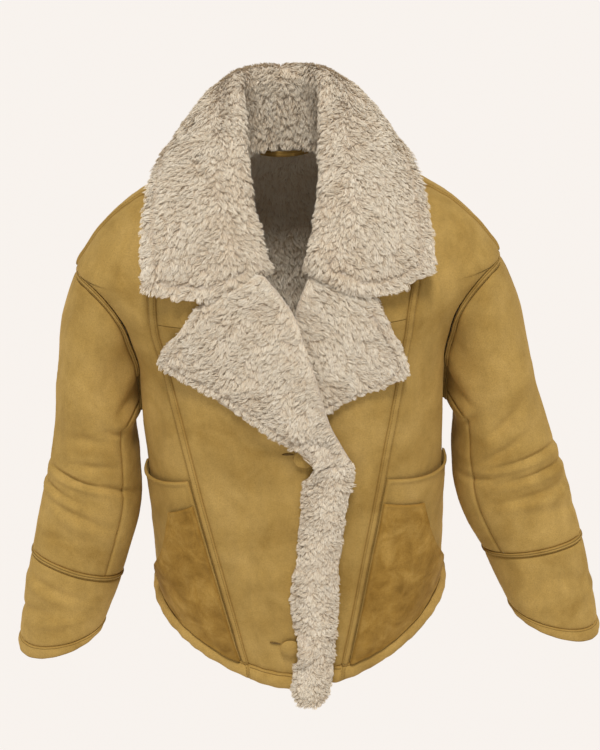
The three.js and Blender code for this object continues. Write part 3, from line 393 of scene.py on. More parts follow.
SLEEVE_FOLDS = {  # turn, place, length in turn, width in place, slope, height
    -1: (
        (1.2, 2.55, 1.5, 0.060, 0.03, -6.0), (1.2, 2.66, 1.6, 0.080, 0.03, 3.6),
        (0.7, 2.92, 1.3, 0.055, 0.10, -5.0), (0.8, 3.02, 1.3, 0.075, 0.10, 3.4),
        (1.5, 3.22, 1.2, 0.060, 0.14, -4.6), (1.4, 3.33, 1.2, 0.080, 0.14, 3.2),
        (1.0, 3.62, 1.0, 0.070, -0.12, -2.6), (1.1, 4.40, 1.4, 0.075, 0.08, -4.6),
        (1.0, 4.54, 1.4, 0.090, 0.08, 3.0), (0.6, 4.95, 1.2, 0.080, -0.16, -4.4),
        (1.4, 5.10, 1.2, 0.090, -0.16, 2.8), (1.6, 2.1, 0.9, 0.11, -0.25, -4.6),
        (1.5, 1.5, 0.8, 0.14, -0.35, -4.6), (2.3, 2.6, 0.9, 0.10, 0.2, -4.5),
        (2.2, 1.0, 0.7, 0.12, -0.3, -4.0)),
    1: (
        (1.0, 2.40, 1.5, 0.060, -0.10, -5.4), (1.0, 2.52, 1.6, 0.080, -0.10, 3.4),
        (0.9, 2.78, 1.4, 0.055, -0.08, -5.6), (0.9, 2.89, 1.4, 0.075, -0.08, 3.6),
        (1.1, 3.12, 1.3, 0.060, -0.06, -4.8), (1.2, 3.24, 1.3, 0.080, -0.06, 3.2),
        (0.7, 3.48, 1.1, 0.070, -0.12, -3.4), (0.9, 4.60, 1.1, 0.10, -0.14, -3.0),
        (0.4, 4.90, 1.0, 0.11, 0.12, 2.4), (1.6, 2.0, 0.9, 0.11, 0.25, -4.6),
        (1.5, 1.4, 0.8, 0.14, 0.35, -4.8), (2.2, 2.5, 0.9, 0.10, -0.2, -4.5),
        (2.1, 0.9, 0.7, 0.12, 0.3, -4.0))}


def sleeve_drape(side, turn, place, p):
    d = 1.9 * noise(p, 70, 11) + 0.8 * noise(p, 30, 13)
    turn = within(turn)
    for ft, fp, length, width, slope, height in SLEEVE_FOLDS[side]:
        for way, share in ((1, 1), (-1, 0.55)):  # and again, weaker, on the arm's other face
            past = way * turn - ft
            across = (place - fp - slope * past) / width
            d = d + share * height * np.exp(-across ** 2 - (past / (0.5 * length)) ** 2)
    return d * smooth(0.0, 0.5, place) * (1 - 0.6 * smooth(5.2, 5.6, place))


# ---- Meshes

MATERIALS = {}
UV_SCALE = 0.01  # the cloth's own coordinates count in 100 mm
EDGE_FADE = 3.5  # how fast the mark of a seam (worn nap and painted seam shade) fades away from it
LEAST_SIDE = 0.0101  # a sheet's shortest side, in metres, and least share of its box


def new_mesh(name, verts, flat, sizes, materials, slots=None, uv=None, edge=None, sharp=None):
    """A piece from its points, its faces' corners in one row, and how many corners each face has."""
    mesh = bpy.data.meshes.new(name)
    verts = np.asarray(verts, float) * MM
    flat, sizes = np.asarray(flat, np.int32), np.asarray(sizes, np.int32)
    mesh.vertices.add(len(verts))
    mesh.vertices.foreach_set("co", verts.ravel().astype(np.float32))
    mesh.loops.add(len(flat))
    mesh.loops.foreach_set("vertex_index", flat)
    mesh.polygons.add(len(sizes))
    starts = np.concatenate([[0], np.cumsum(sizes)[:-1]]).astype(np.int32)
    mesh.polygons.foreach_set("loop_start", starts)
    for m in materials:
        mesh.materials.append(MATERIALS[m])
    if slots is not None:
        mesh.polygons.foreach_set("material_index", np.asarray(slots, np.int32))
    mesh.update(calc_edges=True)
    mesh.polygons.foreach_set("use_smooth", np.ones(len(mesh.polygons), bool))
    if uv is not None:
        layer = mesh.uv_layers.new(name="cloth")
        layer.data.foreach_set("uv", np.asarray(uv, np.float32)[flat].ravel())
    rest = mesh.attributes.new("rest", "FLOAT_VECTOR", "POINT")
    rest.data.foreach_set("vector", verts.ravel().astype(np.float32))
    if edge is not None:
        layer = mesh.attributes.new("edge", "FLOAT", "POINT")
        layer.data.foreach_set("value", np.asarray(edge, np.float32).ravel())
    if sharp is not None:
        ends = np.empty(len(mesh.edges) * 2, np.int32)
        mesh.edges.foreach_get("vertices", ends)
        ends = ends.reshape(-1, 2)
        layer = mesh.attributes.new("sharp_edge", "BOOLEAN", "EDGE")
        layer.data.foreach_set("value", sharp[ends[:, 0]] & sharp[ends[:, 1]])
    mesh.update()
    obj = bpy.data.objects.new(name, mesh)
    bpy.context.scene.collection.objects.link(obj)
    return obj


def on_axis(z):
    """A point inside the body, which a piece's outer face looks away from."""
    return np.array([0.0, 0.0, z])


def grid_normals(p, core, ring=False):
    if ring:
        wrap = np.concatenate([p[:, -2:-1], p, p[:, 1:2]], 1)
        along = (wrap[:, 2:] - wrap[:, :-2])
    else:
        along = np.gradient(p, axis=1)
    down = np.gradient(p, axis=0)
    n = unit(np.cross(along, down))
    middle = tuple(k // 2 for k in n.shape[:2])
    if np.dot(n[middle], p[middle] - core) < 0:
        n = -n
    return n


def spans(p):
    """Distance along the rows and down the columns of a grid of points."""
    right, down = (np.linalg.norm(np.diff(p, axis=k), axis=-1) for k in (1, 0))
    u = np.concatenate([np.zeros((len(p), 1)), np.cumsum(right, 1)], 1)
    v = np.concatenate([np.zeros((1, p.shape[1])), np.cumsum(down, 0)], 0)
    return u, v


def cell_areas(p):
    a, b = p[:-1, 1:] - p[:-1, :-1], p[1:, :-1] - p[:-1, :-1]
    return np.linalg.norm(np.cross(a, b), axis=-1)


def draped(p, inside):
    """A grid on the body moved out by the cloth's folds, and its normals."""
    n = grid_normals(p, on_axis(inside))
    return p + n * body_drape(p)[..., None], n


def border(p, ring=False, which="lrtb"):
    """Distance from each grid point to the nearest chosen border."""
    u, v = spans(p)
    d = np.full(u.shape, 1e3)
    if "l" in which and not ring:
        d = np.minimum(d, u)
    if "r" in which and not ring:
        d = np.minimum(d, u[:, -1:] - u)
    if "t" in which:
        d = np.minimum(d, v)
    if "b" in which:
        d = np.minimum(d, v[-1:] - v)
    return d


def round_off(d, radius):
    """How far a face falls at a distance from its edge, for an edge rounded to a radius."""
    t = np.clip(1 - d / radius, 0, 1)
    return radius * (1 - np.sqrt(1 - t * t))


def edge_steps(n, width, ends=(0, 0.7, 1.8, 3.4, 5.5)):
    """Places from 0 to 1, closer together near both ends."""
    near = np.array([e / width for e in ends if e / width < 0.3])
    return np.unique(np.round(np.concatenate([near, np.linspace(near[-1], 1 - near[-1], n), 1 - near]), 7))


def thick_sheet(name, p, n, high, low, materials, ring=False, sharp_row=None):
    """A closed sheet: outer face at p + n * high, inner face at p + n * low. A ring's last column
    repeats its first. The row sharp_row shades as if the cloth went on."""
    rows, cols = p.shape[:2]
    high, low = np.broadcast_to(high, (rows, cols)), np.broadcast_to(low, (rows, cols))
    if ring:
        p, n, high, low = (q[:, :-1] for q in (p, n, high, low))
        cols -= 1
    outer, inner = p + n * high[..., None], p + n * low[..., None]
    verts = np.concatenate([outer.reshape(-1, 3), inner.reshape(-1, 3)])
    e = np.arange(cols if ring else cols - 1)
    j, i = (q.ravel() for q in np.meshgrid(np.arange(rows - 1), e, indexing="ij"))

    def quad(*corners):  # each corner is its column, its row, and 0 on the outer face or 1 on the inner
        return np.stack([(face * rows + b) * cols + a % cols for a, b, face in corners], 1)

    z, last = 0 * e, 0 * e + rows - 1
    quads = [quad((i, j, 0), (i + 1, j, 0), (i + 1, j + 1, 0), (i, j + 1, 0)),
             quad((i, j, 1), (i, j + 1, 1), (i + 1, j + 1, 1), (i + 1, j, 1)),
             quad((e, z, 0), (e, z, 1), (e + 1, z, 1), (e + 1, z, 0)),
             quad((e, last, 0), (e + 1, last, 0), (e + 1, last, 1), (e, last, 1))]
    if not ring:
        e = np.arange(rows - 1)
        z, last = 0 * e, 0 * e + cols - 1
        quads += [quad((z, e, 0), (z, e + 1, 0), (z, e + 1, 1), (z, e, 1)),
                  quad((last, e, 0), (last, e, 1), (last, e + 1, 1), (last, e + 1, 0))]
    slots = np.concatenate([np.full(len(q), k == 1 and len(materials) > 1) for k, q in enumerate(quads)])
    quads = np.concatenate(quads)
    # face the outer side outwards
    a, b, c = (verts[quads[0, k]] for k in (0, 1, 2))
    if np.dot(np.cross(b - a, c - a), n.reshape(-1, 3)[quads[0, 0]]) < 0:
        quads = quads[:, ::-1]
    full = np.concatenate([p, p[:, :1]], 1) if ring else p
    u, v = (q[:, :cols] for q in spans(full))
    uv = np.stack([u, v], -1).reshape(-1, 2) * UV_SCALE
    which = "lrtb" if sharp_row is None else ("lrb" if sharp_row == 0 else "lrt")
    # the edge mark, which darkens the suede near borders: partly worn nap, partly painted seam shade
    edge = np.exp(-border(full, ring, which)[:, :cols] / EDGE_FADE).ravel()
    sharp = None
    if sharp_row is not None:
        sharp = np.zeros((2, rows, cols), bool)
        sharp[:, sharp_row] = True
        sharp = sharp.ravel()
    obj = new_mesh(name, verts, quads.ravel(), np.full(len(quads), 4), materials, slots,
                   np.concatenate([uv, uv]), np.concatenate([edge, edge]), sharp)
    obj["flat_w"] = float(np.mean(u[:, -1])) * MM
    obj["flat_l"] = float(np.mean(v[-1])) * MM
    obj["flat_a"] = float(cell_areas(outer).sum()) * MM * MM
    return obj


def declare(obj):
    """Works out a sheet's cut: mean width and length, enlarged to a box that holds its area; the result is
    not used.
    """
    w, l, a = obj["flat_w"], obj["flat_l"], obj["flat_a"]
    grow = max(1.0, math.sqrt(a / (w * l)))
    w, l = round(w * grow, 5), round(l * grow, 5)
    l = max(l, LEAST_SIDE)


# where each front starts to bend away from the rest, which way that runs and how far
FRONT_START = {-1: (-162, -110, -190), 1: (142, -120, -190)}
FRONT_DIR = {-1: np.array([0.985, 0, 0.17]), 1: np.array([-0.985, 0, 0.17])}
FRONT_BEND = 42.0
CAP_DIR = (0.956, 0, -0.292)
CAP_SPAN = (0.2915, 0.3150)


def ride(obj, kind):
    """Sets how a piece moves: with one body; a piece that would bend from one body to the next only has its
    transform baked.
    """
    side = -1 if kind.startswith("right") else 1
    if kind in ("right_front", "left_front"):
        start = np.array(FRONT_START[side], float) + FRONT_DIR[side] * 2
        end = start + FRONT_DIR[side] * FRONT_BEND
        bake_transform(obj)
    elif kind.endswith("lapel"):
        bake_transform(obj)
    elif kind.endswith("cap"):
        start, end = (tuple(np.array(CAP_DIR) * [side, 1, 1] * q) for q in CAP_SPAN)
        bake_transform(obj)
    elif kind.endswith("elbow"):
        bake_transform(obj)
    else:
        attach(obj, kind)


def settle(piece, nodes, kind):
    """Hides the CAD nodes a sheet stands for, works out its cut and sets how it moves."""
    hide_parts(*nodes.split())
    declare(piece)
    ride(piece, kind)


# ---- Materials


def rgb(r, g, b):
    """A linear colour from 0 to 255 values as a screen shows them."""
    parts = (c / 255 for c in (r, g, b))
    return (*(c / 12.92 if c <= 0.04045 else ((c + 0.055) / 1.055) ** 2.4 for c in parts), 1.0)


class Net:
    """A few short ways to build a node tree."""

    def __init__(self, name):
        self.mat = bpy.data.materials.new(name)
        self.mat.use_nodes = True
        self.nodes, self.links = self.mat.node_tree.nodes, self.mat.node_tree.links
        self.shader = self.nodes["Principled BSDF"]
        MATERIALS[name] = self.mat

    def link(self, a, b):
        self.links.new(a, b)

    def node(self, kind, **values):
        n = self.nodes.new(kind)
        for key, value in values.items():
            setattr(n, key, value)
        return n

    def attribute(self, name):
        return self.node("ShaderNodeAttribute", attribute_name=name)

    def coords(self, stretch=(1, 1, 1)):
        m = self.node("ShaderNodeMapping")
        m.inputs["Scale"].default_value = stretch
        self.link(self.attribute("rest").outputs["Vector"], m.inputs["Vector"])
        return m.outputs["Vector"]

    def noise(self, scale, detail=3, rough=0.55, at=None, distortion=0):
        n = self.node("ShaderNodeTexNoise")
        n.inputs["Scale"].default_value = scale
        n.inputs["Detail"].default_value = detail
        n.inputs["Roughness"].default_value = rough
        n.inputs["Distortion"].default_value = distortion
        self.link(at or self.coords(), n.inputs["Vector"])
        return n.outputs["Fac"]

    def math(self, what, a, b=None, clamp=False):
        n = self.node("ShaderNodeMath", operation=what, use_clamp=clamp)
        for k, v in enumerate((a, b)):
            if v is None:
                continue
            if isinstance(v, (int, float)):
                n.inputs[k].default_value = v
            else:
                self.link(v, n.inputs[k])
        return n.outputs[0]

    def ramp(self, fac, *stops):
        n = self.node("ShaderNodeValToRGB")
        while len(n.color_ramp.elements) < len(stops):
            n.color_ramp.elements.new(0.5)
        for e, (at, colour) in zip(n.color_ramp.elements, stops):
            e.position, e.color = at, colour
        self.link(fac, n.inputs["Fac"])
        return n.outputs["Color"]

    def mix(self, fac, a, b, blend="MIX"):
        n = self.node("ShaderNodeMix", data_type="RGBA", blend_type=blend)
        if isinstance(fac, (int, float)):
            n.inputs["Factor"].default_value = fac
        else:
            self.link(fac, n.inputs["Factor"])
        for key, v in (("A", a), ("B", b)):
            socket = [s for s in n.inputs if s.name == key and s.type == "RGBA"][0]
            if isinstance(v, tuple):
                socket.default_value = v
            else:
                self.link(v, socket)
        return [s for s in n.outputs if s.type == "RGBA"][0]

    def range(self, v, low, high, to_low, to_high):
        n = self.node("ShaderNodeMapRange")
        for k, q in enumerate((low, high, to_low, to_high)):
            n.inputs[k + 1].default_value = q
        self.link(v, n.inputs[0])
        return n.outputs[0]

    def bump(self, *pairs):
        last = None
        for height, strength, distance in pairs:
            n = self.node("ShaderNodeBump")
            n.inputs["Strength"].default_value = strength
            n.inputs["Distance"].default_value = distance
            self.link(height, n.inputs["Height"])
            if last is not None:
                self.link(last, n.inputs["Normal"])
            last = n.outputs["Normal"]
        self.link(last, self.shader.inputs["Normal"])

    def set(self, **values):
        for key, value in values.items():
            socket = self.shader.inputs[key.replace("_", " ")]
            if hasattr(value, "is_output"):
                self.link(value, socket)
            else:
                socket.default_value = value


def grey(v):
    return (v, v, v, 1)


STITCHES, STITCH_SHARE = 29.0, 0.68  # stitches in 100 mm, and how much of the pitch each one takes
STITCH_AT, STITCH_HALF = 0.60, 0.07  # where the line lies on the fading edge mark, and half its width
STITCH_COLOUR = rgb(104, 78, 34)


def suede(name, base, light, dark, blotch, patch_scale=17, stitched=False):
    """Brushed microfibre: broad nap shading, finer brush marks, speckle, and seams darkened partly by worn
    nap and partly by painted seam shade.
    """
    m = Net(name)
    broad = m.noise(patch_scale, 4, 0.6, distortion=0.4)
    brushed = m.noise(60, 4, 0.65, m.coords((1, 1, 0.35)))
    fine = m.noise(620, 2, 0.6)
    fibre = m.noise(1500, 2, 0.6, m.coords((1, 1, 0.3)))
    tone = m.ramp(broad, (0.5 - 0.32 * (1 - 0.55 * blotch), dark), (0.5, base),
                  (0.5 + 0.30 * (1 - 0.45 * blotch), light))
    brush = m.ramp(brushed, (0.3, grey(0.86)), (0.55, grey(1.0)), (0.75, grey(1.09)))
    tone = m.mix(0.75, tone, brush, "MULTIPLY")
    speck = m.ramp(fine, (0.25, grey(0.80)), (0.5, grey(1.0)), (0.78, grey(1.16)))
    tone = m.mix(0.85, tone, speck, "MULTIPLY")
    edge = m.attribute("edge").outputs["Fac"]
    # towards a seam the tone darkens: partly worn, crushed nap and partly painted seam shade
    wear_and_seam_shade = m.math("MULTIPLY", edge, m.range(brushed, 0.3, 0.7, 0.35, 0.9), True)
    tone = m.mix(m.math("MULTIPLY", wear_and_seam_shade, 0.55), tone, dark)
    heights = [(broad, 0.12, 0.002), (brushed, 0.25, 0.0012), (fine, 0.35, 0.0005), (fibre, 0.3, 0.0003)]
    if stitched:  # two rows of stitches, from the cloth's own coordinates
        split = m.node("ShaderNodeSeparateXYZ")
        uv = m.node("ShaderNodeUVMap", uv_map="cloth")
        m.link(uv.outputs["UV"], split.inputs[0])
        step = m.math("FRACT", m.math("MULTIPLY", split.outputs[1], STITCHES))
        dash = m.math("LESS_THAN", step, STITCH_SHARE)
        near = m.math("LESS_THAN", m.math("ABSOLUTE", m.math("SUBTRACT", edge, STITCH_AT)), STITCH_HALF)
        stitch = m.math("MULTIPLY", dash, near)
        tone = m.mix(m.math("MULTIPLY", stitch, 0.7), tone, STITCH_COLOUR)
        heights.append((stitch, 0.4, 0.0006))
    m.set(Base_Color=tone, Roughness=m.range(brushed, 0.2, 0.8, 0.82, 0.98), Sheen_Weight=0.35,
          Sheen_Roughness=0.45, Sheen_Tint=light, Specular_IOR_Level=0.18)
    m.bump(*heights)


suede("suede", rgb(176, 143, 78), rgb(192, 158, 92), rgb(152, 119, 57), 0.15)
suede("suede_seam", rgb(180, 146, 80), rgb(195, 161, 94), rgb(140, 107, 48), 0.15, stitched=True)
suede("suede_nap", rgb(158, 121, 54), rgb(180, 143, 73), rgb(134, 99, 38), 0.8, 32)


def pile_cloth(name, light, mid, deep, scale=150):
    """Short curly pile seen as lumps, for the undercoat and the inside of the jacket."""
    m = Net(name)
    curls = m.noise(scale, 4, 0.62, distortion=1.4)
    locks = m.noise(scale * 3.2, 3, 0.6, distortion=0.8)
    tone = m.ramp(curls, (0.32, deep), (0.5, mid), (0.66, light))
    shade = m.ramp(locks, (0.3, grey(0.78)), (0.6, grey(1.05)))
    m.set(Base_Color=m.mix(0.8, tone, shade, "MULTIPLY"), Roughness=m.range(locks, 0.2, 0.8, 0.88, 1.0),
          Sheen_Weight=0.3, Sheen_Roughness=0.6, Specular_IOR_Level=0.1)
    m.bump((curls, 0.9, 0.004), (locks, 0.7, 0.0016))


pile_cloth("pile_under", rgb(232, 218, 198), rgb(220, 203, 180), rgb(198, 178, 152))
pile_cloth("pile_inside", rgb(232, 220, 201), rgb(216, 200, 177), rgb(190, 171, 144), 110)


def strand_material(name, colour):
    """One tone of pile strand, with fine scales along it."""
    m = Net(name)
    grain = m.noise(2600, 2, 0.5)
    m.set(Base_Color=colour, Roughness=m.range(grain, 0.3, 0.7, 0.72, 0.9),
          Sheen_Weight=0.25, Sheen_Roughness=0.6, Sheen_Tint=(1, 0.96, 0.9, 1), Specular_IOR_Level=0.08)
    m.bump((grain, 0.25, 0.0002))


# besides random tone, roots and quilted grooves take the deeper tones as painted shade, and tips the lighter
# ones as painted light
STRAND_TONES = ("strand_light", "strand_mid", "strand_warm", "strand_deep")
strand_material("strand_light", rgb(243, 233, 215))
strand_material("strand_mid", rgb(234, 221, 199))
strand_material("strand_warm", rgb(224, 206, 180))
strand_material("strand_deep", rgb(208, 187, 159))

for slot_name, base in (("thread", rgb(126, 98, 46)), ("button_backing", rgb(150, 116, 62))):
    m = Net(slot_name)
    twist = m.noise(900, 3, 0.6, m.coords((1, 1, 0.3)))
    m.set(Base_Color=m.mix(twist, base, rgb(96, 72, 32)), Roughness=m.range(twist, 0.2, 0.8, 0.5, 0.8),
          Specular_IOR_Level=0.3)
    m.bump((twist, 0.5, 0.0004))

# ---- Body panels

BODY_WITHIN = -350.0
FINE = 1.0


def count(n):
    return max(3, int(n * FINE))


def body_grid(from_, to, tops, s, foot=None, foot_rows=0):
    """A grid on the body between two edges, with rows at the heights in tops and, with foot, on
    down to the hem."""
    z = np.repeat(np.asarray(tops, float)[:, None], len(s), 1)
    if foot is not None:
        end = foot(lerp(from_(np.array(HEM_SIDE)), to(np.array(HEM_SIDE)), s)) - HEM_TUCK
        t = np.linspace(0, 1, foot_rows + 1)[1:, None]
        z = np.concatenate([z, lerp(z[-1:], end[None], t)])
    turn = lerp(from_(z), to(z), s[None])
    return turn, z


def body_piece(name, turn, z, nodes, kind="shell", rise=lambda x, z: 0 * z, which="lrtb"):
    """A panel of the body. rise says how far it stands off, and which of its borders are seams."""
    p, n = draped(body_point(turn, z), BODY_WITHIN)
    base = rise(p[..., 0], z)
    d = border(p, which=which)
    high = base - round_off(d, 1.5) - 1.3 * np.exp(-d / 4.0) + 0.5 * (1 - np.exp(-d / 12.0))
    high = high + 0.18 * noise(p, 4.0, 31)
    sharp_row = {"lrt": -1, "lrb": 0}.get(which)
    piece = thick_sheet(name, p, n, high, base - CLOTH, ("suede", "pile_inside"), sharp_row=sharp_row)
    settle(piece, nodes, kind)


def band_piece(name, p, n, high, low, nodes, kind, ring=False):
    """A narrow piece with its stitching: a welt, a hem or a rolled edge."""
    piece = thick_sheet(name, p, n, high, low, ("suede_seam", "pile_inside"), ring)
    settle(piece, nodes, kind)


def down_rows(top, bottom, step):
    return list(np.arange(top, bottom, -step / FINE))


RUN_END = -520  # above here rows lie at fixed heights, and below they follow the hem
HEM_ROWS = count(22)
panel_s = {w: edge_steps(count(n), w) for w, n in ((110, 26), (150, 34), (290, 56))}

# centre back
BACK_EDGES = (back_seam(1, WELT_HALF), lambda q: 2 * np.pi + back_seam(-1, WELT_HALF)(q))
rows = down_rows(-8, -60, 5) + down_rows(-60, RUN_END, 8) + [RUN_END]
turn, z = body_grid(*BACK_EDGES, rows, panel_s[290], hem_top, HEM_ROWS)
body_piece("back_center", turn, z, "back_center_panel")

run_rows = (down_rows(-43, -130, 4) + down_rows(-130, -152, 1.6) + down_rows(-152, -346, 4)
            + down_rows(-346, RUN_END, 7) + [RUN_END])
for side, name in SIDES:
    for behind, label in ((False, "side_front"), (True, "back_side")):
        from_ = (back_seam if behind else front_seam)(side, -WELT_HALF)
        rows = down_rows(-35, -43, 2) + run_rows if behind else run_rows
        turn, z = body_grid(from_, outer_edge(side, behind, 0.5), rows, panel_s[110], hem_top, HEM_ROWS)
        body_piece(f"{label}_{name}", turn, z, f"{label}_panel_{name}")
    # upper front
    rule = lap_rise if side < 0 else lap_sink
    fade = (lambda x, q: lap_rise(x, q) * smooth(-120, -168, q)) if side < 0 else lap_sink
    neck = lambda q, side=side: edge_turn(side * straight(NECK_EDGE, q), q, False, shoulder_inset(q))
    rows = down_rows(-8, FRONT_TOP, 4) + [FRONT_TOP]
    turn, z = body_grid(neck, front_seam(side, WELT_HALF), rows, panel_s[110])
    body_piece(f"upper_front_{name}", turn, z, f"upper_front_panel_{name}", rise=fade, which="lrt")
    # the front that opens
    if side < 0:
        edge = lambda q: edge_turn(straight(RIGHT_EDGE, q), q, False, shoulder_inset(q))
    else:
        edge = lambda q: edge_turn(UNDERLAP_EDGE + 0 * q, q, False, SIDE_CLEAR)
    rows = down_rows(FRONT_TOP - 1, RUN_END, 6) + [RUN_END]
    turn, z = body_grid(front_seam(side, WELT_HALF), edge, rows, panel_s[150], hem_top, count(26))
    p = body_point(turn, z)
    slits = 0
    if side < 0:  # worked buttonholes, to the wearer's right of each button
        for _, bx, bz in BUTTONS:
            across = np.abs(z - bz - 3)
            along = np.clip((bx - 14 - p[..., 0]) / 4, 0, 1) * np.clip((p[..., 0] - (bx - 30)) / 4, 0, 1)
            slits = slits + along * (2.6 * bump_at(across, 1.8) - 0.8 * bump_at(across - 4, 1.8))
    nodes = f"{name}_front_panel" + (" buttonhole_patch_upper buttonhole_patch_lower" if side < 0 else "")
    body_piece(f"{name}_front", turn, z, nodes, f"{name}_front",
               lambda x, q, r=rule, s=slits: r(x, q) - s, which="lrb")

# ---- Welts


def welt_profile(s):
    """A welt's height across it: a flat crown between two stitched grooves."""
    t = np.abs(2 * s - 1)
    return 0.85 * WELT_RISE * (1 - t ** 6) - 1.3 * bump_at(t - 0.60, 0.12) - 0.9 * t ** 12


welt_s = np.linspace(0, 1, 13)
for side, name in SIDES:
    half = WELT_HALF + 0.3
    for label, seam, rows in (("princess_welt", front_seam, run_rows),
                              ("back_welt", back_seam, down_rows(-33, -43, 2) + run_rows)):
        turn, z = body_grid(seam(side, half), seam(side, -half), rows, welt_s, hem_top, HEM_ROWS)
        p, n = draped(body_point(turn, z), BODY_WITHIN)
        high = welt_profile(welt_s)[None] + 0.25 * noise(p, 9, 41)
        band_piece(f"{label}_band_{name}", p, n, high, -CLOTH + 1, f"{label}_{name}", "shell")
    z = np.repeat(np.array(down_rows(-36, -135, 3) + [-135.0])[:, None], len(welt_s), 1)
    front, back = (beside_turn(z, WELT_HALF + 0.4, behind) for behind in (False, True))
    turn = lerp(side * (np.pi / 2 - front), side * (np.pi / 2 + back), welt_s[None])
    p, n = draped(body_point(turn, z), BODY_WITHIN)
    high = welt_profile(welt_s)[None] + 0.2 * noise(p, 9, 42)
    band_piece(f"shoulder_band_{name}", p, n, high, -CLOTH + 1, f"shoulder_welt_{name}", "shell")

# ---- Sleeves


def under_arm(over, under):
    return lambda turn: lerp(over, under, ((1 - np.cos(turn)) / 2) ** 3)


def sleeve_grid(side, turns, places):
    """A draped grid on a sleeve. Places may be a 2-D array; turns runs along the rows."""
    turn = np.repeat(np.asarray(turns, float)[None], len(places), 0)
    place = places if np.ndim(places) == 2 else np.repeat(places[:, None], len(turns), 1)
    p = sleeve_point(side, turn, place)
    x, y, z = curved(SLEEVE[side], np.array(float(place.mean())))[:3]
    ring = abs(abs(turns[-1] - turns[0]) - 2 * np.pi) < 1e-6
    n = grid_normals(p, np.array([side * x, y, z]), ring)
    return p + n * sleeve_drape(side, turn, place, p)[..., None], n, turn, place, ring


def outer_seam(turn, place):
    """A lapped seam down the sleeve's outer side: a low ridge between two stitched lines."""
    off = (within(turn) - (0.30 + 0.05 * place)) * 70.0
    ridge = 1.3 * (smooth(-4.6, -2.6, off) - smooth(2.6, 4.6, off))
    return ridge - 0.8 * bump_at(off - 4.4, 0.9) - 0.8 * bump_at(off + 4.4, 0.9)


def sleeve_piece(name, side, turns, places, nodes, kind, high=lambda turn, place: 0 * place, which="lr"):
    p, n, turn, place, ring = sleeve_grid(side, turns, places)
    d = border(p, ring, which)
    h = -round_off(d, 1.4) - 0.96 * np.exp(-d / 3.0) + 0.5 * (1 - np.exp(-d / 12.0)) + 0.18 * noise(p, 4, 33)
    sharp_row = {"lrt": -1, "lrb": 0}.get(which)
    piece = thick_sheet(name, p, n, h + high(turn, place), -SLEEVE_CLOTH, ("suede", "pile_inside"), ring,
                        sharp_row)
    settle(piece, nodes, kind)


for side, name in SIDES:
    full = np.linspace(0, 2 * np.pi, count(96) + 1)
    over = np.linspace(-SEAM_TURN, SEAM_TURN, count(70) + 1)
    under = np.linspace(SEAM_TURN, 2 * np.pi - SEAM_TURN, count(34) + 1)
    # the welts round the armhole and the forearm
    across = np.linspace(0, 1, 11)
    for label, places, share, drop, seed, body in (
            ("armhole", across[:, None] * under_arm(0.075, 0.45)(full)[None], 0.7, 0.6, 43, "shell"),
            ("forearm", lerp(*WELT_PLACE, across), 0.8, 0.3, 44, f"{name}_forearm")):
        p, n, _, _, ring = sleeve_grid(side, full, places)
        high = (share * welt_profile(across) - drop)[:, None] + 0.2 * noise(p, 9, seed)
        band_piece(f"{label}_band_{name}", p, n, high, -SLEEVE_CLOTH, f"{label}_welt_{name}", body, ring)
    for label, turns in (("sleeve_top", over), ("sleeve_under", under)):
        start = under_arm(0.078, 0.455)(turns)
        t = np.linspace(0, 1, count(46) + 1)[:, None]
        sleeve_piece(f"{label}_upper_{name}", side, turns, lerp(start[None], SPLIT_PLACE, t),
                     f"{label}_{name}", f"{name}_cap", outer_seam, which="lrt")
    ends = np.linspace(SPLIT_PLACE, WELT_PLACE[0], count(52) + 1)
    sleeve_piece(f"sleeve_top_lower_{name}", side, over, ends, f"forearm_top_{name} sleeve_elbow_{name}",
                 f"{name}_elbow", outer_seam, which="lrb")
    sleeve_piece(f"sleeve_under_lower_{name}", side, under, ends, f"forearm_under_{name}",
                 f"{name}_elbow", which="lrb")
    sleeve_piece(f"cuff_{name}", side, full, np.linspace(WELT_PLACE[1], CUFF_ROLL, count(30) + 1),
                 f"cuff_top_{name} cuff_under_{name}", f"{name}_forearm", outer_seam, which="tb")
    # the rolled edge
    t = np.linspace(0, 1, 17)
    p, n, turn, _, ring = sleeve_grid(side, full, lerp(CUFF_ROLL, 6.0, t))
    crown = dome(t)[:, None]
    puff = 0.5 * np.sin(turn * 17 + 2 * noise(p, 30, 7)) * crown
    band_piece(f"cuff_edge_{name}", p, n, 3.2 * crown - 1.2 + puff, -SLEEVE_CLOTH - 1.5 * crown + 0.6,
               f"cuff_roll_{name}", f"{name}_forearm", ring)

# ---- Hem


def hem_piece(where, start, end, cols, kind="shell", rise=lambda x, z: 0 * z):
    name, node = f"hem_{where}", f"hem_band_{where}"
    turns = np.linspace(start, end, count(cols) + 1)
    t = np.linspace(0, 1, 19)
    turn = np.repeat(turns[None], len(t), 0)
    z = hem_height(turn) + HEM_BAND * (1 - t)[:, None]
    p, n = draped(body_point(turn, z), HEM_SIDE)
    crown = dome(t)[:, None]
    lift = rise(p[..., 0], z)
    wave = 0.4 * np.sin(turn * 52 + 3 * noise(p, 50, 6)) * crown + 0.5 * noise(p, 14, 9) * crown
    beside = smooth(0.45, 0.95, np.abs(np.sin(turn))) * smooth(70, -10, p[..., 1])  # fuller at the sides
    full = 8.0 + 8.0 * beside
    high = lift - 1.2 + full * crown ** 1.3 + wave
    band_piece(name, p, n, high, lift - CLOTH + 1.5 * (1 - crown), node, kind)


right_turn, left_turn = (front_seam(s, PANEL_EDGE)(np.array(HEM_SIDE - 36.0)) for s in (-1, 1))
hem_piece("right_front", right_turn, turn_at(np.array(26.0), -700), 40, "right_front", lap_rise)
hem_piece("left_front", turn_at(np.array(-16.0), -700), left_turn, 34, "left_front",
          lambda x, z: 1.5 * lap_sink(x, z))
hem_piece("right_side", -np.pi / 2, right_turn, 40)
hem_piece("left_side", left_turn, np.pi / 2, 40)
hem_piece("back", np.pi / 2, 1.5 * np.pi, 110)

# ---- Pockets


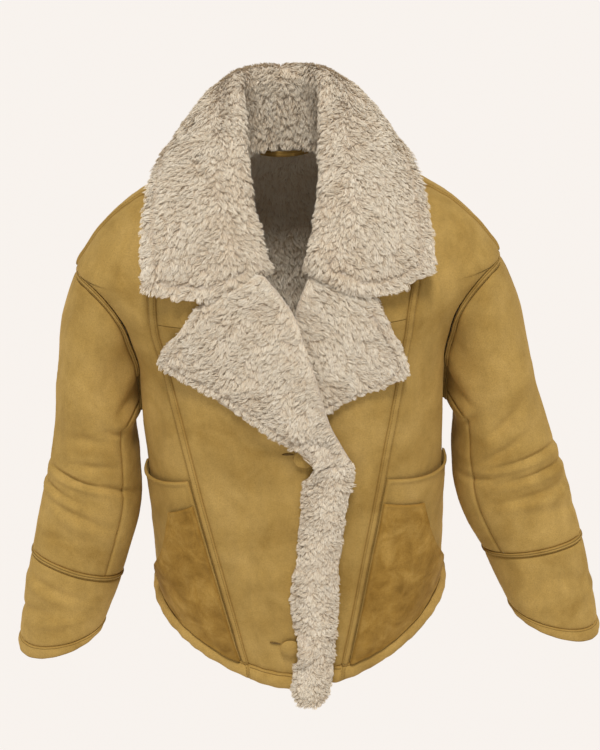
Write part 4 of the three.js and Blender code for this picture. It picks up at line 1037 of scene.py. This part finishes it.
def pocket_piece(label, name, from_, to, top, base, swell, material, node, puff):
    s = edge_steps(count(36), 90)
    t = edge_steps(count(60), 260)[:, None]
    end = hem_top(lerp(from_(np.array(HEM_SIDE)), to(np.array(HEM_SIDE)), s)) + 0.4
    z = lerp(top(s)[None], end[None], t)
    turn = lerp(from_(z), to(z), s[None])
    p, n = draped(body_point(turn, z), -500.0)
    d = border(p)
    low = base + swell(s[None], t)
    stitched = -0.9 * bump_at(d - 5.5, 1.1) + 0.7 * (1 - smooth(4.6, 6.4, d))
    high = low + 2.8 - round_off(d, 2.0) + stitched + puff * (1 - np.exp(-d / 14))
    high = high + 0.5 * noise(p, 22, 51) + 0.2 * noise(p, 6, 52)
    piece = thick_sheet(f"{label}_{name}", p, n, high, low, (material, material))
    settle(piece, node, "shell")


for side, name in SIDES:
    seam = front_seam(side, -WELT_HALF - 0.6)
    side_edge = lambda q, side=side: side * (np.pi / 2 - beside_turn(q, 3, False))
    mouth = lambda q, side=side: edge_turn(side * straight(POCKET_MOUTH, q), q, False, SIDE_CLEAR)
    top = lambda s: lerp(*POCKET_TOP, s) - 4 * np.sin(np.pi * s)
    stand = lambda s, t: (3 * np.sin(np.pi * s) * (1 - smooth(0, 0.4, t)) + 1.5 * (1 - smooth(0.0, 0.06, t))
                          - 1.0 * smooth(0.85, 1, t))
    pocket_piece("pocket_overlay", name, seam, side_edge, top, 1.2, stand, "suede",
                 f"pocket_panel_{name}", 0.3)
    patch_top = lambda s: lerp(*POCKET_TOP, s * PATCH_WIDTH) - POCKET_DROP
    room = lambda s, t: (6.5 * smooth(0.1, 1, s) * smooth(0, 0.25, t) * (1 - smooth(0.6, 0.95, t))
                         + 2.8 * np.sin(np.pi * PATCH_WIDTH * s) * (1 - smooth(0, 0.3, t))
                         - 2.2 * smooth(0.8, 1, t))
    pocket_piece("pocket_patch", name, seam, mouth, patch_top, 5.2, room, "suede_nap",
                 f"pocket_patch_{name}", 0.8)

# ---- Pile

rng = np.random.default_rng(20)
STRAND_WIDTH = 0.72
CLUMP = 5.0  # clumps stand about this far apart
HOLE_CLEAR = 3.4
BUTTON_CLEAR = 24.0


def strand_mesh(name, roots, normals, combs, lengths, widths, lifts, clump, tones):
    """Flat tapering strands. Each rises from its root, bends over along its comb direction and is
    drawn towards its clump's tip."""
    k = len(roots)
    side = unit(np.cross(combs, normals))
    curl = rng.normal(0, 1, (k, 1)) * 0.5
    points = []
    for t in (0.0, 0.38, 0.72, 1.0):
        reach = (np.sin(lifts * (1 - 0.55 * t)) * t)[:, None]
        run = (np.cos(lifts * (1 - 0.55 * t)) * t)[:, None]
        bend = side * curl * np.sin(np.pi * 1.3 * t) * 0.22
        q = roots + lengths[:, None] * (normals * reach + combs * run + bend)
        pull = 0.62 * t ** 1.6
        points.append(q * (1 - pull) + (clump[0] + clump[1] * t) * pull)
    points = np.stack(points, 1)
    flat = unit(side + 0.35 * rng.normal(0, 1, (k, 3)))
    verts = np.empty((k, 7, 3))
    for a, share in enumerate((0.8, 1.0, 0.7)):
        off = flat * (0.5 * widths * share)[:, None]
        verts[:, 2 * a] = points[:, a] - off
        verts[:, 2 * a + 1] = points[:, a] + off
    verts[:, 6] = points[:, 3]
    corners = (np.arange(k) * 7)[:, None] + [0, 1, 3, 2, 2, 3, 5, 4, 4, 5, 6]
    # each strand's root segment is one tone deeper, painted shade down in the pile, and half the tips one
    # tone lighter, painted light on the tips
    tip = np.clip(tones - (rng.random(k) < 0.5), 0, 3)
    step = np.stack([np.clip(tones + 1, 0, 3), tones, tip], 1).ravel()
    return new_mesh(name, verts.reshape(-1, 3), corners.ravel(), np.tile([4, 4, 3], k), STRAND_TONES, step)


def sample(grids, areas, number):
    """Random places on a grid, even by area, with each of several grids read there."""
    cell = rng.choice(areas.size, number, p=areas.ravel() / areas.sum())
    j, i = np.divmod(cell, areas.shape[1])
    s, t = rng.random(number)[:, None], rng.random(number)[:, None]

    def read(g):
        g = g if g.ndim == 3 else g[..., None]
        upper = g[j, i] * (1 - s) + g[j, i + 1] * s
        lower = g[j + 1, i] * (1 - s) + g[j + 1, i + 1] * s
        return upper * (1 - t) + lower * t
    return [read(g) for g in grids]


def fur_piece(name, grid_p, grid_n, comb, density, length, kind="shell", lift=0.85, groove=0, swirl=0.7,
              warm=0):
    """Pile over a grid. comb is the way it is brushed, groove how deep a quilted line is there (0 to 1),
    and warm how much of it shows the deeper tone."""
    fields = [np.broadcast_to(np.asarray(g, float), grid_p.shape[:2]) for g in (groove, warm)]
    areas = cell_areas(grid_p)
    number = int(areas.sum() * density)
    roots, normals, combs, deep, tan = sample([grid_p, grid_n, comb, *fields], areas, number)
    normals, deep, tan = unit(normals), deep[:, 0], tan[:, 0]
    keep = rng.random(len(roots)) > 0.6 * deep
    keep &= np.hypot(roots[:, 0] - LAPEL_HOLE[0], roots[:, 2] - LAPEL_HOLE[1]) > HOLE_CLEAR
    roots, normals, combs, deep, tan = (q[keep] for q in (roots, normals, combs, deep, tan))
    cropped = np.ones(len(roots))
    for _, bx, bz in BUTTONS:  # short beside the buttons, so that their free halves show
        away = np.hypot(roots[:, 0] - bx, roots[:, 2] - bz)
        beside = (away < BUTTON_CLEAR) & (roots[:, 0] < bx + 13) & (roots[:, 1] < -60)
        cropped = np.where(beside, 0.38, cropped)
    combs = unit(combs - normals * np.sum(combs * normals, 1)[:, None])
    turn = swirl * (1.1 * noise(roots, 19, 61) + 0.8 * noise(roots, 9, 62))
    turn = turn + 0.25 * rng.normal(0, 1, len(roots))
    side = np.cross(normals, combs)
    combs = combs * np.cos(turn)[:, None] + side * np.sin(turn)[:, None]
    own = length * (0.8 + 0.35 * rng.random(len(roots))) * (1 + 0.18 * noise(roots, 14, 63))
    own = own * (1 - 0.4 * deep) * cropped
    lifts = lift + 0.22 * rng.normal(0, 1, len(roots)) + 0.25 * noise(roots, 11, 64)
    lifts = np.clip(lifts * (1 - 0.4 * deep), 0.15, 1.35)
    # each strand joins the clump of the nearest picked root
    number = max(8, int(areas.sum() / CLUMP ** 2))
    pick = rng.choice(len(roots), min(number, len(roots)), replace=False)
    tree = KDTree(len(pick))
    for k, q in enumerate(pick):
        tree.insert(roots[q], k)
    tree.balance()
    near = pick[np.array([tree.find(q)[1] for q in roots])]
    up, flat = np.sin(lifts[near] * 0.5)[:, None], np.cos(lifts[near] * 0.5)[:, None]
    clump = (roots[near], (normals[near] * up + combs[near] * flat) * own[near][:, None])
    # a quilted groove (deep) adds up to one tone darker: painted shade in the groove
    tones = 1 + tan + 0.4 * rng.normal(0, 1, len(roots)) + 0.6 * noise(roots, 16, 65) + deep
    tones = np.clip(np.round(tones), 0, 3).astype(int)
    widths = STRAND_WIDTH * (0.75 + 0.5 * rng.random(len(roots)))
    piece = strand_mesh(name, roots, normals, combs, own, widths, lifts, clump, tones)
    ride(piece, kind)


def undercoat(name, p, n, high, low, node, kind, materials=("pile_under", "suede")):
    """The lumpy sheet that the strands stand on."""
    lumps = 1.1 * noise(p, 7.5, 71) + 0.7 * noise(p, 4, 72)
    piece = thick_sheet(name, p, n, high + lumps * np.clip(border(p) / 4, 0, 1), low, materials)
    settle(piece, node, kind)


DENSITY = 0.55  # strands for each square millimetre
PILE = 8.5  # length of the pile, and how deep its roots stand in the undercoat
ROOT_DEPTH = 0.6
QUILT_INSET = 17.0  # the quilted line's distance from the edge, and its width
QUILT_WIDTH = 2.4
CROWN = 0.62  # the undercoat's share of the pile's full height
COLLAR_WITHIN = -60.0  # height of a point that the collar's cloth faces away from
GRIP = 0.10  # where the leaf takes over from the roll
COLLAR_ROWS = edge_steps(count(46), 140)


def fringe(name, p, n, away, way, length=PILE, kind="shell", lift=0.45, density=2.2):
    """Pile that stands out past an edge. away is the direction past it, way how it is brushed."""
    fur_piece(name, p, unit(n + 0.9 * away), way, DENSITY * density, length, kind, lift)


def collar_skin(around, reach):
    """The collar's cloth, from inside the neck at reach -1, over the fold near 0, to its edge at 1."""
    around, reach = np.broadcast_arrays(np.asarray(around, float), np.asarray(reach, float))
    across = lerp(GRIP, 0.975, np.clip(reach, 0, 1))
    end = np.abs(around)
    # the ends run on to the gorge near the fold, and in at the edge
    grown = around * (1 + 0.085 * smooth(0.88, 1, end) * (1 - smooth(0.3, 0.6, across)))
    short = np.where(around > 0, 0.065, 0.012)
    grown = grown - short * smooth(0.7, 1, end) * smooth(0.5, 1, across) * np.sign(around)
    sunk = smooth(0.86, 1, end)[..., None] * [0, 6.5, -3]
    leaf = collar_leaf(grown, across) + sunk * (1 - smooth(0.4, 0.6, across))[..., None]
    fold, seam = collar_curve(COLLAR_FOLD, grown), collar_curve(COLLAR_SEAM, grown)
    first = collar_leaf(grown, GRIP + 0 * grown)
    way = unit(collar_leaf(grown, GRIP + 0.04 + 0 * grown) - first)
    start = fold + (seam - fold) * 0.35 - unit(fold * [1, 1, 0]) * 6
    start, fold, first = start + sunk, fold + sunk, first + sunk
    size = np.linalg.norm(first - start, axis=-1, keepdims=True)
    t = np.clip(reach + 1, 0, 1)[..., None]
    a, b = start + unit(fold - seam) * size * 0.75, first - way * size * 0.6
    roll = start * (1 - t) ** 3 + 3 * a * t * (1 - t) ** 2 + 3 * b * t * t * (1 - t) + first * t ** 3
    return np.where((reach < 0)[..., None], roll, leaf)


# collar leaf, with the roll over the fold
around = np.linspace(-1, 1, count(230) + 1)
reach = np.concatenate([np.linspace(-1, 0, count(13))[:-1], COLLAR_ROWS])
A, T = np.meshgrid(around, reach)
p = collar_skin(A, T)
n = grid_normals(p, on_axis(COLLAR_WITHIN))
quilt = bump_at(np.where(T > 0, border(p, which="lrb"), 1e3) - QUILT_INSET, QUILT_WIDTH)
rounded = np.sqrt(np.sin(np.pi * np.clip(0.5 + 0.5 * T, 0.05, 0.95)))
high = lerp(1.5, 5.2, rounded) - 2.6 * quilt + 1.0 * noise(p, 45, 73)
undercoat("collar_leaf_cloth", p, n, high, -4.0, "collar_leaf", "shell")
out_way, front_way = unit(np.gradient(p, axis=0)), unit(np.gradient(p, axis=1)) * np.sign(A + 1e-9)[..., None]
comb = out_way * lerp(-0.7, 0.85, smooth(0.04, 0.26, T))[..., None] + front_way * 0.75 + [0, 0, -0.3]
middle = (len(around) - 1) // 2
for label, cut in (("right", np.s_[:, :middle + 1]), ("left", np.s_[:, middle:])):
    fur_piece(f"collar_leaf_pile_{label}", (p + n * (high[..., None] - ROOT_DEPTH))[cut], n[cut], comb[cut],
              1.5 * DENSITY, PILE, groove=quilt[cut], warm=(0.3 * (1 - smooth(0.0, 0.5, T)))[cut])
q = collar_skin(*np.meshgrid(around, COLLAR_ROWS[1:]))
piece = thick_sheet("under_collar_cloth", q, grid_normals(q, on_axis(COLLAR_WITHIN)), -4.5, -7.4,
                    ("suede", "suede"))
settle(piece, "under_collar", "shell")

# fringes round the collar's edge and ends
q = collar_skin(*np.meshgrid(around, np.linspace(0.97, 1.0, 3)))
m = grid_normals(q, on_axis(COLLAR_WITHIN))
away = unit(np.gradient(q, axis=0))
fringe("collar_edge_pile", q - m, m, away, away + [0, 0, -0.5] - 0.25 * m, 6.5)
for end, label in SIDES:
    A, T = np.meshgrid(np.linspace(end, end * 0.985, 3), np.linspace(0.5, 1, 60))
    q = collar_skin(A, T)
    m = grid_normals(q, on_axis(COLLAR_WITHIN))
    away = unit(q - collar_skin(A - end * 0.01, T))
    fringe(f"collar_end_pile_{label}", q - m, m, away, away + [0, 0, -0.6], 7.0)

# collar stand and the pile inside the back of the neck
A, T = np.meshgrid(np.linspace(-0.8, 0.8, count(120) + 1), np.linspace(-0.2, 0.86, count(30) + 1))
seam, fold = collar_curve(COLLAR_SEAM, A), collar_curve(COLLAR_FOLD, A)
p = seam + (fold - seam) * T[..., None]
n = grid_normals(p, on_axis(40.0))
undercoat("collar_stand_cloth", p, n, -3.0, -8.0, "collar_stand", "shell", ("pile_under", "pile_under"))
fur_piece("collar_stand_pile", p - n * 8.0, -n, 0 * p + [0, 0, -1.0], DENSITY * 0.9, PILE, warm=0.2)

# inside of the upper back, seen through the neck
p = body_point(*body_grid(*BACK_EDGES, np.linspace(-10, -330, 50), np.linspace(0, 1, 40)))
n = grid_normals(p, on_axis(BODY_WITHIN))
fur_piece("back_inside_pile", p - n * 6.6, -n, 0 * p + [0, 0, -1.0], DENSITY * 0.7, 9.0, warm=-0.3)


def beside_button(x, z):
    """The pile is pushed aside so that most of the upper button shows."""
    _, bx, bz = BUTTONS[0]
    return 11.0 * np.exp(-((x - bx + 2) ** 2 + (z - bz - 2) ** 2) / 27 ** 2)


def lapel(name, edge, fold, low, comb_to):
    """A lapel between its edge and its fold, standing at a height of low over the body."""
    s = edge_steps(count(44), 130)
    t = np.linspace(0, 1, count(84) + 1)
    a, b = (curved(line, t * (len(line) - 1)) for line in (edge, fold))
    x = lerp(a[:, :1], b[:, :1], s[None])
    z = lerp(a[:, 1:], b[:, 1:], s[None])
    x = x + beside_button(x, z)
    p = front_point(x, z)
    n = grid_normals(p, on_axis(-200.0))
    base = low(x, z)
    u = np.repeat(s[None], len(t), 0)
    thick = CROWN * lerp(6, 11, np.sqrt(np.sin(np.pi * np.clip(u, 0.04, 0.96))))
    quilt = bump_at(border(p, which="lb") - QUILT_INSET, QUILT_WIDTH) * smooth(0.0, 0.08, u)
    high = base + thick + noise(p, 40, 74) - 2.4 * quilt - 2.5 * np.exp(-border(p) / 3.0)
    undercoat(f"{name}_cloth", p, n, high, base, name, name)
    x_way, down = unit(np.gradient(p, axis=1)), unit(np.gradient(p, axis=0))
    fur_piece(f"{name}_pile", p + n * (high[..., None] - ROOT_DEPTH), n, np.array(comb_to) - 0.4 * x_way,
              DENSITY * 1.6, PILE, name, groove=quilt, swirl=0.9)
    edge_p = p + n * (base + 3.0)[..., None]
    for label, cut, away in (("side", np.s_[:, :3], -x_way), ("foot", np.s_[-3:, :], down),
                             ("head", np.s_[:3, :], -down)):
        fringe(f"{name}_{label}_pile", edge_p[cut], n[cut], away[cut], away[cut] + [0, 0, -0.35], kind=name)


lapel("right_lapel", LAPEL_RIGHT_EDGE, LAPEL_RIGHT_FOLD,
      lambda x, z: lap_rise(x, z) + lerp(2.8, 5, smooth(-120, -145, x)) + button_lift(x, z),
      (-0.45, -0.1, -0.9))
lapel("left_lapel", LAPEL_LEFT_EDGE, LAPEL_LEFT_FOLD,
      lambda x, z: lap_sink(x, z) + lerp(1.8, 7.5, smooth(90, 118, x)), (0.45, -0.1, -0.9))

# the strip down the front edge
s = edge_steps(count(26), 55)
row = curved(STRIP, np.linspace(0, len(STRIP) - 1, count(150) + 1))
x = lerp(row[:, 1:2], row[:, 2:3], s[None])
z = np.repeat(row[:, :1], len(s), 1)
x = x + beside_button(x, z)
p = front_point(x, z)
n = grid_normals(p, on_axis(-500.0))
u = np.repeat(s[None], len(z), 0)
base = lap_rise(x, z) + 1.8 + 2.6 * smooth(-660, -676, z) + button_lift(x, z)
arch = np.sin(np.pi * u)
high = base + CROWN * lerp(4, 16, arch) + 1.6 * noise(p, 26, 75) * arch - 1.5 * np.exp(-border(p) / 3)
undercoat("front_strip_cloth", p, n, high, base, "front_edge_strip", "right_front")
x_way, z_way = unit(np.gradient(p, axis=1)), unit(np.gradient(p, axis=0))
fur_piece("front_strip_pile", p + n * (high[..., None] - ROOT_DEPTH), n,
          x_way * (2 * u - 1)[..., None] + z_way * 0.7, DENSITY * 1.7, 8.0, "right_front", swirl=0.8)
for label, cut, away in (("inner", np.s_[:, :3], -x_way), ("outer", np.s_[:, -3:], x_way)):
    fringe(f"front_strip_{label}_pile", (p + n * (base + 2.0)[..., None])[cut], n[cut], away[cut],
           (away + 0.5 * z_way)[cut], 7.5, "right_front", 0.5, 2.0)
cut = np.s_[-3:, :]
fur_piece("front_strip_foot_pile", (p + n * (base + 3.0)[..., None])[cut], unit(n[cut] + z_way[cut]),
          z_way[cut] + [0, 0, -0.3], DENSITY * 2.3, 7.5, "right_front", 0.4)

# ---- Buttons and loop


def button_frame(bx, bz):
    place = front_point(bx, bz)
    tilt = front_point(bx, bz - 10) - front_point(bx, bz + 10)
    across = front_point(bx + 10, bz) - front_point(bx - 10, bz)
    out = unit(np.cross(across, tilt))
    out = -out if out[1] > 0 else out
    right = unit(across)
    return place, out, right, np.cross(out, right)


def lathe(name, profile, place, out, right, up, steps, material, ripple):
    """A closed turned piece. profile runs from one end of the axis to the other as radius, height."""
    angle = np.linspace(0, 2 * np.pi, steps, endpoint=False)
    rings = []
    for r, h in profile[1:-1]:
        own = r * (1 + ripple * np.sin(angle * 9 + 3) * r / profile[1][0])
        rings.append(place + (np.cos(angle) * own)[:, None] * right + (np.sin(angle) * own)[:, None] * up
                     + out * h)
    verts = np.concatenate([place[None] + out * profile[0][1], *rings, place[None] + out * profile[-1][1]])
    faces = []
    ring_count = len(rings)
    start = lambda k: 1 + k * steps
    for i in range(steps):
        j = (i + 1) % steps
        faces.append((0, start(0) + j, start(0) + i))
        for k in range(ring_count - 1):
            faces.append((start(k) + i, start(k) + j, start(k + 1) + j, start(k + 1) + i))
        faces.append((start(ring_count - 1) + i, start(ring_count - 1) + j, len(verts) - 1))
    # the cap's rings nearest the cloth take the edge mark, darker in the suede: worn nap and painted shade
    # under the rim
    edge = np.zeros(len(verts))
    edge[1:1 + 2 * steps] = 0.8
    corners = [k for f in faces for k in f]
    return new_mesh(name, verts, corners, [len(f) for f in faces], (material,), edge=edge)


# radius and height over the cloth
CAP = [(0, 7.6), (10, 7.6), (12.4, 7.7), (13.4, 8.3), (13.6, 9.2), (13.1, 10.1), (12.2, 10.6), (11.6, 10.7),
       (10.6, 11.3), (8.6, 12.0), (6.2, 12.5), (3.2, 12.85), (0, 13.0)]
PLATE = [(0, 5.9), (9.5, 5.9), (10.8, 6.2), (11, 6.6), (10.8, 7.0), (0, 7.1)]
SHANK = [(0, -5.2), (1.9, -5.2), *((1.7 + 0.25 * (-1) ** k, -5.2 + k * 0.9) for k in range(1, 12)), (0, 5.4)]
for label, bx, bz in BUTTONS:
    for part, node, profile, steps, material, ripple, body in (
            ("cap", "button_cap", CAP, 56, "suede", 0.006, f"{label}_button"),
            ("plate", "button_back", PLATE, 40, "button_backing", 0, f"{label}_button"),
            ("shank", "button_shank", SHANK, 16, "thread", 0, "left_front")):
        piece = lathe(f"button_{label}_{part}", profile, *button_frame(bx, bz), steps, material, ripple)
        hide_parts(f"{node}_{label}")
        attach(piece, body)


def worked_hole(name, x0, x1, z0, height, kind):
    """A stitched buttonhole: a narrow almond of thread lying on the cloth."""
    t = np.linspace(0, 1, 25)
    half = 1.5 * np.sin(np.pi * np.clip(t, 0.02, 0.98)) ** 0.5
    s = np.linspace(-1, 1, 9)[:, None]
    x = np.repeat(lerp(x0, x1, t)[None], 9, 0)
    z = z0 + s * half[None]
    p, n = draped(front_point(x, z), -400.0)
    high = height(x, z) + 0.9 * np.sqrt(np.clip(1 - s * s, 0, 1)) - bump_at(s, 0.3)
    piece = thick_sheet(name, p, n, high, height(x, z) - 2.5, ("thread",))
    ride(piece, kind)


for label, bx, bz in BUTTONS:
    worked_hole(f"buttonhole_{label}", bx - 27, bx - 13, bz + 4, lambda x, z: lap_rise(x, z) + 0.4,
                "right_front")
worked_hole("lapel_hole", LAPEL_HOLE[0] - 3.5, LAPEL_HOLE[0] + 3.5, LAPEL_HOLE[1],
            lambda x, z: lap_rise(x, z) + 9.5, "right_lapel")

# the hanger loop: a strap bowed away from the neck seam
t, w = np.meshgrid(np.linspace(0, 1, 41), np.linspace(0, 1, 7))
p = np.stack([lerp(-30, 30, t), 62 - 11 * 4 * t * (1 - t), -24 + 7 * w], -1)
piece = thick_sheet("hanger_loop_strap", p, grid_normals(p, np.array([0, 300, -20.0])), 0.0, -1.9,
                    ("suede_seam", "suede_seam"))
settle(piece, "hanger_loop", "shell")

# ---- Stage, light and camera

scene = bpy.context.scene
floor_mesh = bpy.data.meshes.new("floor")
FLOOR_Z, FLOOR_HALF = -6.0, 300.0
corners = [(x * FLOOR_HALF, y * FLOOR_HALF, FLOOR_Z) for x, y in ((-1, -1), (1, -1), (1, 1), (-1, 1))]
floor_mesh.from_pydata(corners, [], [(0, 1, 2, 3)])
floor = bpy.data.objects.new("floor", floor_mesh)
scene.collection.objects.link(floor)
paper = bpy.data.materials.new("floor_paper")
paper.use_nodes = True
for socket, value in (("Base Color", rgb(243, 239, 236)), ("Roughness", 1.0), ("Specular IOR Level", 0.0)):
    paper.node_tree.nodes["Principled BSDF"].inputs[socket].default_value = value
floor_mesh.materials.append(paper)

world = bpy.data.worlds.new("studio")
scene.world = world
world.use_nodes = True
background = world.node_tree.nodes["Background"]
background.inputs["Color"].default_value = (1.0, 0.99, 0.985, 1)
background.inputs["Strength"].default_value = 0.36

KEY_WAY, KEY_STRENGTH, KEY_SPREAD = (-0.04, 0.42, -1.0), 2.35, math.radians(14)
light = bpy.data.lights.new("key", "SUN")
light.energy, light.angle, light.color = KEY_STRENGTH, KEY_SPREAD, (1, 0.985, 0.96)
key = bpy.data.objects.new("key", light)
scene.collection.objects.link(key)
key.rotation_euler = Vector(KEY_WAY).to_track_quat("-Z", "Y").to_euler()

PITCH, ROLL = math.radians(29), math.radians(2.0)
EYE = (0.010, -1.38, 0.46)
SENSOR, LENS = 36, 57.6
forward = Vector((0, math.cos(PITCH), -math.sin(PITCH)))
level = Vector((1, 0, 0))
upright = level.cross(forward)
right = level * math.cos(ROLL) - upright * math.sin(ROLL)
up = level * math.sin(ROLL) + upright * math.cos(ROLL)
camera_data = bpy.data.cameras.new("camera")
camera_data.sensor_width = SENSOR
camera_data.lens = LENS
camera = bpy.data.objects.new("camera", camera_data)
scene.collection.objects.link(camera)
axes = zip(right, up, -forward, EYE)
camera.matrix_world = Matrix((*axes, (0, 0, 0, 1)))
scene.camera = camera
scene.view_settings.view_transform = "Standard"
